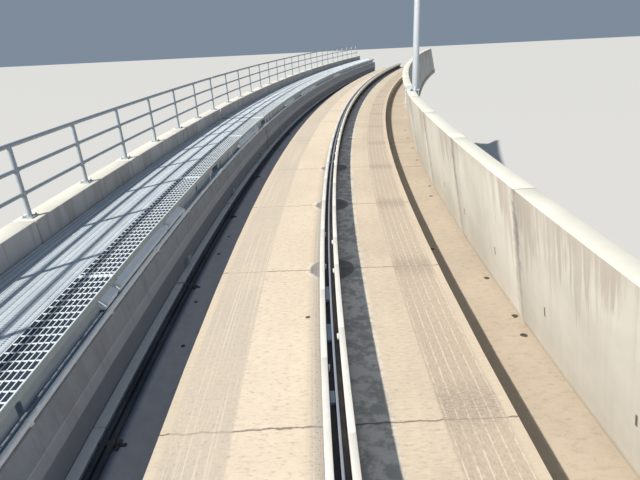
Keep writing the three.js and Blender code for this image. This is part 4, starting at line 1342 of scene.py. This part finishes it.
def fold(part, inset):
    """Cuts a block's top in three and moves its long edges to the hood's folds, drawn in by the inset."""
    level = HOOD_FOOT + HOOD_EAVE_RISE + STATION_ZERO.z - 0.001
    pick(part, "edges", lambda e: all(v.co.z > level for v in e.verts) and length_of(e, "x") > 0.1)
    bpy.ops.mesh.subdivide(number_cuts=len(HOOD_FOLDS) - 2)
    leave()
    sides = sorted({round(v.co.x, 4) for v in part.data.vertices if v.co.z > level})
    insets = (inset, inset, 0.0, -inset)
    for side, (fold_side, rise), shift in zip(sides, HOOD_FOLDS, insets):
        drop = max(rise - inset, 0.002) - HOOD_EAVE_RISE
        move = (fold_side + shift - side, 0, drop)
        shift_verts(part, lambda v: abs(v.co.x - side) < 0.001 and v.co.z > level, move)
    return part


def hood(name, start, end):
    """The folded sheet, and the plates that close its ends."""
    levels = (HOOD_FOOT, HOOD_FOOT + HOOD_EAVE_RISE)
    shell = fold(block("shell", HOOD_SIDES, (start, end), levels), 0.0)
    pick(shell, "faces", lambda f: f.normal.z < -0.9 or abs(f.normal.y) > 0.9)
    bpy.ops.mesh.delete(type="FACE")
    leave()
    cut_short(shell)
    parts = [modify(shell, "SOLIDIFY", thickness=HOOD_SHEET, offset=-1.0)]
    sides = (HOOD_SIDES[0] + HOOD_CAP_INSET, HOOD_SIDES[1] - HOOD_CAP_INSET)
    for at in (start, end - HOOD_SHEET):
        parts.append(fold(block("cap", sides, (at, at + HOOD_SHEET), levels), HOOD_CAP_INSET))
    return join_all(name, parts)


for name, (bay, share_from, share_to) in HOODS.items():
    bay_start = BRACKET_FIRST + bay * BRACKET_PITCH + BAY_END_GAP
    bay_length = BRACKET_PITCH - 2 * BAY_END_GAP
    ends = (bay_start + share_from * bay_length, bay_start + share_to * bay_length)
    piece = bend_to_track(hood(f"folded_hood_{name}", *ends))
    span = name.split("_")[0]
    finish_piece(piece, span, "hood_steel", (f"cable_hood_{name}",), smooth=8.0)

# %% [markdown]
# ## Rail covers and signal rail
# Two bleached mouldings cover the power rails on top of the guide beam, with a joint about every 1.17 m
# and a coupling inside each joint. Each length is a block with well-rounded top edges. The signal rail
# between them is a slim bar.

# %% Rail covers and signal rail
COVER_SIDES, COVER_LEVELS = (0.053, 0.1035), (0.2053, 0.289)
COVER_PITCH, COVER_GAP = 1.17, 0.009
COVER_JOINTS = {
    "left": [1.85, 3.026, 4.103, *[5.68 + COVER_PITCH * i for i in range(29)]],
    "right": [2.25, 3.427, 4.644, *[5.4 + COVER_PITCH * i for i in range(29)]],
}
COVER_COUPLING = {"half_length": 0.05, "narrower": 0.004, "lower": 0.02}
SIGNAL_HALF, SIGNAL_TOP = 0.009, 0.262


def rail_covers(sign, start, end, cuts):
    """The covers on one side of the beam, and the couplings between them."""
    sides = sorted(sign * d for d in COVER_SIDES)
    lengths = lengths_between(start, end, cuts, COVER_GAP)
    covers = [block("cover", sides, ends, COVER_LEVELS) for ends in lengths]
    wide = (sides[0] + COVER_COUPLING["narrower"], sides[1] - COVER_COUPLING["narrower"])
    tall = (COVER_LEVELS[0] + COVER_COUPLING["lower"], COVER_LEVELS[1] - COVER_COUPLING["lower"])
    couplings = [block("coupling", wide, about(at, COVER_COUPLING["half_length"]), tall) for at in cuts]
    rounded = [cut_short(round_edges(cover, 0.006)) for cover in covers]
    return rounded + [round_edges(coupling, 0.008) for coupling in couplings]


for span, (start, end) in SPANS.items():
    start, end = start + 0.005, end - 0.005
    for side, sign in (("left", -1), ("right", 1)):
        parts = rail_covers(sign, start, end, within(COVER_JOINTS[side], start, end, 0.1))
        cover = bend_to_track(join_all(f"power_rail_cover_{side}_{span}", parts))
        finish_piece(cover, span, "rail_cover", (f"power_rail_{side}_{span}",))
    signal = block("signal", about(0.0, SIGNAL_HALF), (start, end), (COVER_LEVELS[0], SIGNAL_TOP))
    signal = bend_to_track(cut_short(round_edges(signal, 0.004)))
    signal.name = f"signal_bar_{span}"
    finish_piece(signal, span, "signal_rail", (f"signal_rail_{span}",))

# %% [markdown]
# ## Fittings of the guide beam
# Between the covers, small pale insulators hold the signal rail. Their places are seen one by one near the
# front, and further on they follow each other at an even pitch.

# %% Guide beam fittings
INSULATORS = {"left": (2.955, 4.693, 5.609), "right": (3.36, 4.576, 5.345)}
INSULATOR = {"inner": 0.036, "overlap": 0.002, "half_length": 0.011, "height": 0.05, "neck": 0.012}
CROSS_SUPPORTS = {"first": 9.34, "pitch": 0.72, "count": 41, "off_joint": 0.1}
BEAM_TOP = COVER_LEVELS[0]


def insulator(side, at):
    """A moulded block with a narrower neck, which carries the signal rail."""
    sign = {"left": -1, "right": 1}[side]
    sides = sorted(sign * d for d in (INSULATOR["inner"], COVER_SIDES[0] - INSULATOR["overlap"]))
    levels = (BEAM_TOP, BEAM_TOP + INSULATOR["height"])
    piece = block("insulator", sides, about(at, INSULATOR["half_length"]), levels)
    pick_top(piece)
    extrude(0, 0, INSULATOR["neck"])
    bpy.ops.transform.resize(value=(0.8, 0.6, 1.0))
    leave()
    return round_edges(piece, 0.002, 1)


placed = [(at, insulator(side, at)) for side, places in INSULATORS.items() for at in places]
supports = [CROSS_SUPPORTS["first"] + CROSS_SUPPORTS["pitch"] * i for i in range(CROSS_SUPPORTS["count"])]
supports = [at for at in supports if abs(at - JOINT) > CROSS_SUPPORTS["off_joint"]]
placed += [(at, insulator(side, at)) for at in supports for side in INSULATORS]
finish_by_span("rail_insulators", placed, "rail_cover")

# %% [markdown]
# Near the front, three thin plates bridge the open stretches between the left cover and the signal rail.

# %% Plates over the gaps
GAP_PLATES = ((2.58, 2.7), (3.32, 3.56), (3.98, 4.24))
GAP_PLATE_SIDES = (-COVER_SIDES[0] + 0.004, -SIGNAL_HALF - 0.004)
GAP_PLATE_LEVELS = (BEAM_TOP + 0.001, BEAM_TOP + 0.03)

plates = [block("plate", GAP_PLATE_SIDES, ends, GAP_PLATE_LEVELS) for ends in GAP_PLATES]
plates = [round_edges(plate, 0.002, 1) for plate in plates]
gap_plates = bend_to_track(join_all("gap_plates_near", plates))
finish_piece(gap_plates, "near", "galvanised_steel")

# %% [markdown]
# A clip lies on the beam's foot to each side of the web, with a nut and the end of a stud on it. One pair
# is modelled at the first chair, and the Array modifier sets the others.

# %% Beam clamps
CHAIR_PITCH, CHAIR_END_MARGIN = 1.17, 0.16
CLAMP = {"side": 0.068, "half_width": 0.016, "half_length": 0.03, "levels": (0.03, 0.042)}
CLAMP_NUT_LEVEL, CLAMP_STUD_LEVEL = 0.053, 0.063


def clamp_pair(at):
    """A clip with its bolt on each side of the web, at one chair."""
    parts = []
    for side in (-CLAMP["side"], CLAMP["side"]):
        sides, ends = about(side, CLAMP["half_width"]), about(at, CLAMP["half_length"])
        clip = block("clip", sides, ends, CLAMP["levels"])
        pick_top(clip)
        bpy.ops.mesh.inset(thickness=0.004, depth=0.003)
        leave()
        parts.append(clip)
        parts.append(rod("nut", (side, at, CLAMP_NUT_LEVEL), 0.012, 0.014, "Z", 6))
        parts.append(rod("stud", (side, at, CLAMP_STUD_LEVEL), 0.007, 0.03, "Z", 10))
    return join_all("clamp", parts)


for span, (start, end) in SPANS.items():
    first = start + CHAIR_PITCH / 2
    clamps = repeat_between(clamp_pair(first), first, end - CHAIR_END_MARGIN, CHAIR_PITCH)
    clamps = bend_to_track(clamps)
    clamps.name = f"beam_clamps_{span}"
    finish_piece(clamps, span, "galvanised_steel")

# %% [markdown]
# ## Conduit under the walkway
# A bright steel conduit follows the deck's raised edge. It is a round pipe with screwed couplings, held by
# two-legged straps. The CAD's plain prism keeps its place, and this pipe stands for it.

# %% Conduit and its straps
CONDUIT = {"lateral": -1.985, "height": 0.421, "radius": 0.023}
SADDLE = {"pitch": 1.3, "first": 0.35, "end_margin": 0.1}
PIPE_JOINTS = [4.94 + 3.0 * i for i in range(-1, 12)]
COUPLING = {"proud": 0.005, "length": 0.07}
STRAP_FOOT = {"left": 0.05, "right": 0.028, "half_width": 0.011, "thickness": 0.004, "screw": 0.039}
STRAP_SEAT = {"half_width": 0.022, "half_length": 0.02, "below_pipe": 0.012}


def pipe_strap(at):
    """A band over the pipe, with a foot and a screw on each side."""
    side, level, radius = CONDUIT["lateral"], CONDUIT["height"], CONDUIT["radius"]
    band = rod("band", (side, at, level), radius + 0.003, 0.022, "Y", 20)
    foot_sides = (side - STRAP_FOOT["left"], side + STRAP_FOOT["right"])
    foot_levels = (RAISED_DECK, RAISED_DECK + STRAP_FOOT["thickness"])
    foot = block("foot", foot_sides, about(at, STRAP_FOOT["half_width"]), foot_levels)
    seat_sides, seat_ends = about(side, STRAP_SEAT["half_width"]), about(at, STRAP_SEAT["half_length"])
    seat = block("seat", seat_sides, seat_ends, (RAISED_DECK, level - STRAP_SEAT["below_pipe"]))
    pick_top(seat)
    bpy.ops.transform.resize(value=(0.7, 1.0, 1.0))
    leave()
    screw = rod("screw", (side - STRAP_FOOT["screw"], at, RAISED_DECK + 0.007), 0.006, 0.006, "Z", 6)
    return join_all("strap", [round_edges(band, 0.002, 1), foot, seat, screw])


for span, (start, end) in SPANS.items():
    side, level, radius = CONDUIT["lateral"], CONDUIT["height"], CONDUIT["radius"]
    pipe = rod("pipe", (side, (start + end) / 2, level), radius, end - start, "Y", 20)
    parts = [cut_short(round_edges(pipe, 0.003, 1, 60.0))]
    for at in within(PIPE_JOINTS, start, end, 0.1):
        coupling = rod("coupling", (side, at, level), radius + COUPLING["proud"], COUPLING["length"], "Y", 20)
        parts.append(round_edges(coupling, 0.002, 1))
    first = start + SADDLE["first"]
    parts.append(repeat_between(pipe_strap(first), first, end - SADDLE["end_margin"], SADDLE["pitch"]))
    conduit = bend_to_track(join_all(f"conduit_pipe_{span}", parts))
    finish_piece(conduit, span, "bright_steel", (f"conduit_{span}",))

# %% [markdown]
# Bright short struts stay the walkway's edge, and two round junction fittings sit under it. Both are seen
# in the gap between the deck and the walkway's edge, so they are small but catch the light.

# %% Struts and ring fittings
STRUTS = (7.66, 9.1, 9.35, 12.96, 13.36, 13.8, 14.42, 15.1)
STRUT_LEAN, OTHER_LEAN = {9.1: 0.09, 9.35: -0.09}, 0.02
STRUT_SIDES, STRUT_HALF, STRUT_TOP = (-2.012, -2.006), 0.012, 0.6027
STRUT_FOOT = {"sides": (-2.045, -2.006), "half_length": 0.03, "thickness": 0.006}
RING_FITTINGS, FITTING_SIDE = (6.1, 11.82), -2.03
FITTING = {"radius": 0.05, "height": 0.09, "spout_out": 0.06, "spout_drop": 0.02}


def strut(station, lean):
    """A flat bar from the raised deck up to the walkway's edge channel."""
    piece = block("strut", STRUT_SIDES, about(station, STRUT_HALF), (RAISED_DECK + 0.002, STRUT_TOP))
    shift_verts(piece, lambda v: v.co.z > STATION_ZERO.z + 0.5, (0.0, lean, 0.0))
    foot_levels = (RAISED_DECK, RAISED_DECK + STRUT_FOOT["thickness"])
    foot = block("foot", STRUT_FOOT["sides"], about(station, STRUT_FOOT["half_length"]), foot_levels)
    bolt = rod("bolt", (FITTING_SIDE, station, RAISED_DECK + 0.01), 0.008, 0.01, "Z", 6)
    return join_all("strut", [round_edges(piece, 0.001, 1), foot, bolt])


def ring_fitting(station):
    """A round box with a raised lid and two short spouts."""
    level = RAISED_DECK + 0.05
    body = rod("body", (FITTING_SIDE, station, level), FITTING["radius"], FITTING["height"], "Z", 24)
    pick_top(body)
    bpy.ops.mesh.inset(thickness=0.012)
    extrude(0, 0, 0.008)
    leave()
    spouts = [
        rod("spout", (FITTING_SIDE, at, level - FITTING["spout_drop"]), 0.02, 0.05)
        for at in about(station, FITTING["spout_out"])
    ]
    return join_all("fitting", [round_edges(body, 0.002, 1), *spouts])


placed = [(at, strut(at, STRUT_LEAN.get(at, OTHER_LEAN))) for at in STRUTS]
placed += [(at, ring_fitting(at)) for at in RING_FITTINGS]
finish_by_span("edge_stays", placed, "bright_steel")

# %% [markdown]
# ## Duct and cables in the deck channel
# A flat duct lies at the foot of the upstand. Each length is a block with its lid extruded out on top, and
# the lengths meet at narrow joints. Two cables lie beside it, each a tube with a slight wander, under straps.

# %% Floor duct
DUCT = {"left": -1.95, "right": -1.862, "height": 0.045, "lid": 0.008, "overhang": 0.005}
DUCT_FOOT, DUCT_JOINT = -0.2397, 0.006
DUCT_JOINTS = [2.9 + 3.0 * i for i in range(13)]


def duct_length(start, end):
    """A trough with its lid: the top face is widened, and extruded up by the lid's thickness."""
    top = DUCT_FOOT + DUCT["height"] - DUCT["lid"]
    piece = block("duct", (DUCT["left"], DUCT["right"]), (start, end), (DUCT_FOOT, top))
    pick_top(piece)
    extrude(0, 0, 0)
    share = 1 + 2 * DUCT["overhang"] / (DUCT["right"] - DUCT["left"])
    bpy.ops.transform.resize(value=(share, 1.0, 1.0))
    extrude(0, 0, DUCT["lid"])
    leave()
    return cut_short(round_edges(piece, 0.0015, 1))


for span, (start, end) in SPANS.items():
    cuts = within(DUCT_JOINTS, start, end, 0.3)
    parts = [duct_length(*ends) for ends in lengths_between(start, end, cuts, DUCT_JOINT)]
    duct = bend_to_track(join_all(f"lidded_duct_{span}", parts))
    finish_piece(duct, span, "duct_grey", (f"floor_duct_{span}",))

# %% [markdown]
# Each cable is a tube that wanders by a millimetre or two. A strap over both has a bolt, and a flat tail
# with a cross plate that is bolted to the deck.

# %% Cables and straps
CABLE_RADIUS, CABLE_HEIGHT = 0.024, -0.2155
CABLE_SIDES = (-1.815, -1.755)
STRAP_SPACING = {"first": 2.05, "pitch": 2.45, "end_margin": 0.3}
STRAP = {"sides": (-1.845, -1.725), "half": 0.025, "lip": 0.006, "bolt": -1.785, "bolt_level": 0.016}
STRAP_TAIL = {"sides": (-1.73, -1.64), "half": 0.012, "thickness": 0.012}
STRAP_CROSS = {"side": -1.7, "half_width": 0.012, "half_length": 0.05, "thickness": 0.014}
WANDER, WANDER_LENGTH = 0.0015, 2.3


def laid_cable(lateral, start, end, turn):
    """A tube whose cross-sections are moved a little to the side in a slow wave."""
    cable = rod("cable", (lateral, (start + end) / 2, CABLE_HEIGHT), CABLE_RADIUS, end - start, "Y", 12)
    cut_short(cable, 0.3)
    for row in rows_of(cable):
        shift_row(cable, row, (WANDER * math.sin(row * math.tau / WANDER_LENGTH + turn), 0, 0))
    return cable


def cable_strap(at):
    """A flat bar over both cables, with a tail to the right, a cross plate on the tail and two bolts."""
    level = CABLE_HEIGHT + CABLE_RADIUS
    bar = block("bar", STRAP["sides"], about(at, STRAP["half"]), (DUCT_FOOT, level - 0.008))
    pick_top(bar)
    bpy.ops.mesh.inset(thickness=STRAP["lip"])
    extrude(0, 0, STRAP["lip"])
    leave()
    tail_levels = (DUCT_FOOT, DUCT_FOOT + STRAP_TAIL["thickness"])
    tail = block("tail", STRAP_TAIL["sides"], about(at, STRAP_TAIL["half"]), tail_levels)
    cross_sides = about(STRAP_CROSS["side"], STRAP_CROSS["half_width"])
    cross_levels = (DUCT_FOOT, DUCT_FOOT + STRAP_CROSS["thickness"])
    cross = block("cross", cross_sides, about(at, STRAP_CROSS["half_length"]), cross_levels)
    bolt_places = ((STRAP["bolt"], at, level), (STRAP_CROSS["side"], at, DUCT_FOOT + STRAP["bolt_level"]))
    bolts = [rod("bolt", bolt_place, 0.009, 0.02, "Z", 6) for bolt_place in bolt_places]
    return join_all("strap", [round_edges(bar, 0.002, 1), tail, cross, *bolts])


for span, (start, end) in SPANS.items():
    cables = [laid_cable(side, start, end, 7.0 * side) for side in CABLE_SIDES]
    piece = bend_to_track(join_all(f"laid_cables_{span}", cables))
    finish_piece(piece, span, "cable_jacket", (f"channel_cables_{span}",))
    first, last = start + STRAP_SPACING["first"], end - STRAP_SPACING["end_margin"]
    straps = bend_to_track(repeat_between(cable_strap(first), first, last, STRAP_SPACING["pitch"]))
    straps.name = f"cable_straps_{span}"
    finish_piece(straps, span, "dark_steel")

# %% [markdown]
# Small grey boxes are fixed to the upstand about every 3 m, each with a thin arm a little before it that
# reaches out over the duct.

# %% Wall boxes
WALL_BOXES = [5.75 + 2.98 * i for i in range(11)]
WALL_BOX_SIDES, WALL_BOX_LEVELS, WALL_BOX_HALF = (-1.955, -1.9), (-0.14, -0.06), 0.06
ARM = {"sides": (-1.96, -1.85), "levels": (-0.195, -0.187), "half": 0.012, "before_box": 0.5}
UPRIGHT_SIDES, UPRIGHT_LEVELS = (-1.965, -1.955), (-0.195, -0.1)


def wall_box(at):
    """A small junction box on the upstand's lower face, with a lid, and an arm below it over the duct."""
    body = block("body", WALL_BOX_SIDES, about(at, WALL_BOX_HALF), WALL_BOX_LEVELS)
    pick(body, "faces", lambda f: f.normal.x > 0.9)
    bpy.ops.mesh.inset(thickness=0.008)
    extrude(0.004, 0, 0)
    leave()
    arm_ends = about(at - ARM["before_box"], ARM["half"])
    arm = block("arm", ARM["sides"], arm_ends, ARM["levels"])
    upright_bar = block("upright", UPRIGHT_SIDES, arm_ends, UPRIGHT_LEVELS)
    return join_all("wall_box", [round_edges(body, 0.003, 1), arm, upright_bar])


finish_by_span("wall_boxes", [(at, wall_box(at)) for at in WALL_BOXES], "box_grey")

# %% [markdown]
# ## Piers and bearings
# The round columns were cast in smooth steel forms and widen into a flared head. Each column is turned
# here with many more sides than in the CAD. Rigid pieces like these are made round the origin and then
# set down at their station, turned with the track.

# %% Piers
FOOTING_TOP, COLUMN_RADIUS, HEAD_RADIUS = -6.6997, 0.8, 1.4
HEAD_LEVELS = {"flare": -3.78, "lip": -2.43, "top": -2.21}
PIER_SIDES = 96


def set_down(piece, station):
    """Turns a piece made at station 0 with the track and moves it to its station."""
    at = track_point(station)
    only(piece)
    piece.rotation_euler.z = CHORD_TURN - heading(station)
    piece.location = (at.x, at.y, 0.0)
    return settle(piece)


def pier(name, station):
    """A column, its top face extruded up and out into the flared head."""
    flare_level, lip_level, top_level = HEAD_LEVELS.values()
    length = flare_level - FOOTING_TOP
    column = rod(name, (GIRDER_CENTRE, 0.0, FOOTING_TOP + length / 2), COLUMN_RADIUS, length, "Z", PIER_SIDES)
    pick_top(column)
    middle = (GIRDER_CENTRE, 0.0, STATION_ZERO.z + flare_level)
    extrude(0, 0, lip_level - flare_level)
    share = HEAD_RADIUS / COLUMN_RADIUS
    bpy.ops.transform.resize(value=(share, share, 1.0), center_override=middle)
    extrude(0, 0, top_level - lip_level)
    leave()
    round_edges(column, 0.02, 3, 15.0)
    return set_down(column, station)


for name, station in PIER_STATIONS.items():
    piece = pier(f"round_pier_{name}", station)
    finish_piece(piece, "near", "pier_concrete", (f"pier_{name}",), smooth=20.0)

# %% [markdown]
# The footings are square slabs with an eased top edge, level with the ground at their foot.

# %% Footings
FOOTING_HALF, FOOTING_EDGE = 1.8, 0.025
FOOTING_LEVELS = (-STATION_ZERO.z, FOOTING_TOP - REST_GAP)

for name, station in PIER_STATIONS.items():
    sides, ends = about(GIRDER_CENTRE, FOOTING_HALF), about(0.0, FOOTING_HALF)
    base = block(f"cast_footing_{name}", sides, ends, FOOTING_LEVELS)
    pick(base, "edges", lambda e: any(v.co.z > 0.5 for v in e.verts))
    bpy.ops.mesh.bevel(offset=FOOTING_EDGE, segments=2)
    leave()
    finish_piece(set_down(base, station), "near", "pier_concrete", (f"footing_{name}",))

# %% [markdown]
# Between pier and girder stand laminated bearings: square rubber pads with steel plates cured into them,
# on a low plinth. The rubber bulges a little between the plates, so every second ring of a pad is drawn in.

# %% Bearings
PLINTH = {"half_width": 1.08, "half_length": 0.28, "height": 0.09}
PAD = {"half": 0.23, "out": 0.82, "rings": 9, "waist": 0.965, "plate": 0.014, "overlap": 0.002}
BEARINGS = {
    # The pier, and how far along the track the bearing stands from its middle.
    "near_near": ("near", 0.0),
    "middle_near": ("middle", -0.52),
    "middle_far": ("middle", 0.52),
    "far_far": ("far", 0.0),
}
SOFFIT, SLIDE_GAP = -2.0, 0.006


def pad(side, low, high):
    """A square pad, cut into rings, every second one drawn in, with a steel plate above and below."""
    centre = GIRDER_CENTRE + side * PAD["out"]
    inset = PAD["plate"] - PAD["overlap"]
    rubber_half = PAD["half"] - inset
    piece = block("rubber", about(centre, rubber_half), about(0.0, rubber_half), (low + inset, high - inset))
    pick(piece, "edges", lambda e: length_of(e, "z") > 0.02)
    bpy.ops.mesh.subdivide(number_cuts=PAD["rings"])
    leave()
    waist = (PAD["waist"], PAD["waist"], 1.0)
    levels = sorted({round(v.co.z, 4) for v in piece.data.vertices})
    for level in levels[1:-1:2]:
        pick(piece, "verts", lambda v: abs(v.co.z - level) < 0.001)
        bpy.ops.transform.resize(value=waist, center_override=(centre, 0.0, level))
        leave()
    plate_levels = ((low, low + PAD["plate"]), (high - PAD["plate"], high))
    sides, ends = about(centre, PAD["half"]), about(0.0, PAD["half"])
    plates = [block("plate", sides, ends, levels) for levels in plate_levels]
    return join_all("pad", [piece, *[round_edges(plate, 0.002, 1) for plate in plates]])


for name, (pier_name, shift) in BEARINGS.items():
    low = HEAD_LEVELS["top"] + REST_GAP
    seat = low + PLINTH["height"]
    soffit = SOFFIT - (SLIDE_GAP if name.endswith("_far") else REST_GAP)
    pads = join_all(f"bearing_pads_{name}", [pad(side, seat, soffit) for side in (-1, 1)])
    station = PIER_STATIONS[pier_name] + shift
    finish_piece(set_down(pads, station), "near", "dark_steel", (f"bearing_{name}",))
    sides, ends = about(GIRDER_CENTRE, PLINTH["half_width"]), about(0.0, PLINTH["half_length"])
    plinth = block(f"bearing_plinth_{name}", sides, ends, (low, seat))
    finish_piece(set_down(round_edges(plinth, 0.008), station), "near", "pier_concrete")

# %% [markdown]
# ## Service mast
# A round painted mast stands on the parapet by the expansion joint, on a square flange with gussets and
# bolts, with a leg plate down the wall's outside. Beside it a junction box sits across the coping, and a
# duct runs down the wall's inner face to the deck.

# %% Mast
MAST = {"station": 12.3, "lateral": 1.905, "radius": 0.075, "height": 3.2, "flange": 0.105, "plate": 0.02}
LEG = {"shift": 0.075, "thickness": 0.014, "height": 0.24, "bolt_out": 0.06, "bolt_drop": 0.16}
GUSSET = {"reach": 0.024, "height": 0.11, "thickness": 0.01, "sunk": 0.004}
FLANGE_BOLT_OUT = 0.084
mast_side = MAST["lateral"] + flare(MAST["station"])
mast_foot = PARAPET_TOP["z"] + REST_GAP


def gusset(turn):
    """A triangular web between the mast and its flange."""
    base = mast_foot + MAST["plate"] - 0.002
    radius, reach = MAST["radius"] - GUSSET["sunk"], GUSSET["reach"]
    web_sides, web_ends = (radius, radius + reach + GUSSET["sunk"]), about(0.0, GUSSET["thickness"] / 2)
    web = block("gusset", web_sides, web_ends, (base, base + GUSSET["height"]))
    above = STATION_ZERO.z + base + 0.05
    shift_verts(web, lambda v: v.co.x > radius + reach - 0.002 and v.co.z > above, (-0.75 * reach, 0, 0))
    web.rotation_euler.z = turn
    settle(web)
    web.location.x = mast_side
    return settle(web)


tube = rod("tube", (mast_side, 0.0, mast_foot + MAST["height"] / 2), MAST["radius"], MAST["height"], "Z", 40)
pick_top(tube)
bpy.ops.mesh.inset(thickness=0.012)
extrude(0, 0, -0.01)
leave()
flange_ends, flange_top = about(0.0, MAST["flange"]), mast_foot + MAST["plate"]
flange = block("flange", about(mast_side, MAST["flange"]), flange_ends, (mast_foot, flange_top))
leg_side = mast_side + LEG["shift"]
leg_levels = (mast_foot - LEG["height"], mast_foot + 0.01)
leg = block("leg", about(leg_side, LEG["thickness"] / 2), flange_ends, leg_levels)
mast_parts = [round_edges(tube, 0.003), round_edges(flange, 0.003, 1), round_edges(leg, 0.002, 1)]
mast_parts += [gusset(turn) for turn in (0.0, math.pi / 2, math.pi, 1.5 * math.pi)]
for side, end in CORNERS:
    at = (mast_side + side * FLANGE_BOLT_OUT, end * FLANGE_BOLT_OUT)
    mast_parts.append(rod("nut", (*at, flange_top + 0.007), 0.013, 0.014, "Z", 6))
    mast_parts.append(rod("stud", (*at, flange_top + 0.015), 0.007, 0.03, "Z", 10))
for end in about(0.0, LEG["bolt_out"]):
    place = (leg_side + 0.01, end, mast_foot - LEG["bolt_drop"])
    mast_parts.append(rod("leg_bolt", place, 0.012, 0.014, "X", 6))
mast = set_down(join_all("painted_mast", mast_parts), MAST["station"])
finish_piece(mast, "near", "mast_paint", ("service_mast",))

# %% [markdown]
# The box that feeds the mast has a separate lid and pressed panels in its sides. The duct below it is held
# by two clips, and a cable gland looks ahead from the box.

# %% Mast feed
FEED = {"station": 12.13, "left": 1.652, "right": 1.78, "length": 0.15, "height": 0.1, "lid": 0.012}
FEED_DUCT = {"length": 0.06, "depth": 0.036, "height": 0.37, "clip_drops": (0.1, 0.3)}
FEED_CLIP = {"height": 0.024, "wider": 0.016}
feed_out = flare(FEED["station"])
box_sides = (FEED["left"] + feed_out, FEED["right"] + feed_out)
box_ends = about(FEED["station"], FEED["length"] / 2)
box_top = mast_foot + FEED["height"]
body = block("body", box_sides, box_ends, (mast_foot, box_top - FEED["lid"]))
pick(body, "faces", lambda f: abs(f.normal.x) > 0.9 or abs(f.normal.y) > 0.9)
bpy.ops.mesh.inset(thickness=0.012, depth=-0.003)
leave()
lid = block("lid", box_sides, box_ends, (box_top - FEED["lid"] - 0.002, box_top))
pick_top(lid)
bpy.ops.mesh.inset(thickness=0.01, depth=-0.002)
leave()
duct_ends = about(FEED["station"], FEED_DUCT["length"] / 2)
duct_sides = (box_sides[0], box_sides[0] + FEED_DUCT["depth"])
duct = block("duct", duct_sides, duct_ends, (mast_foot - FEED_DUCT["height"], mast_foot + 0.004))
clip_ends = (duct_ends[0] - FEED_CLIP["wider"], duct_ends[1] + FEED_CLIP["wider"])
clip_levels = [mast_foot - drop for drop in FEED_DUCT["clip_drops"]]
clips = [block("clip", duct_sides, clip_ends, (level, level + FEED_CLIP["height"])) for level in clip_levels]
gland_place = ((box_sides[0] + box_sides[1]) / 2, box_ends[1] + 0.015, mast_foot + 0.05)
gland = rod("gland", gland_place, 0.02, 0.03)
feed_parts = [round_edges(body, 0.002, 1), round_edges(lid, 0.002, 1), round_edges(duct, 0.003, 1)]
feed_parts += [*clips, gland]
feed_piece = bend_to_track(join_all("mast_feed_box", feed_parts))
finish_piece(feed_piece, "near", "feed_paint", ("mast_feed",))

# %% [markdown]
# ## The helper curve
# The helper curve isn't part of the object, so it is removed.

# %% Remove the helper curve
bpy.data.objects.remove(helper)
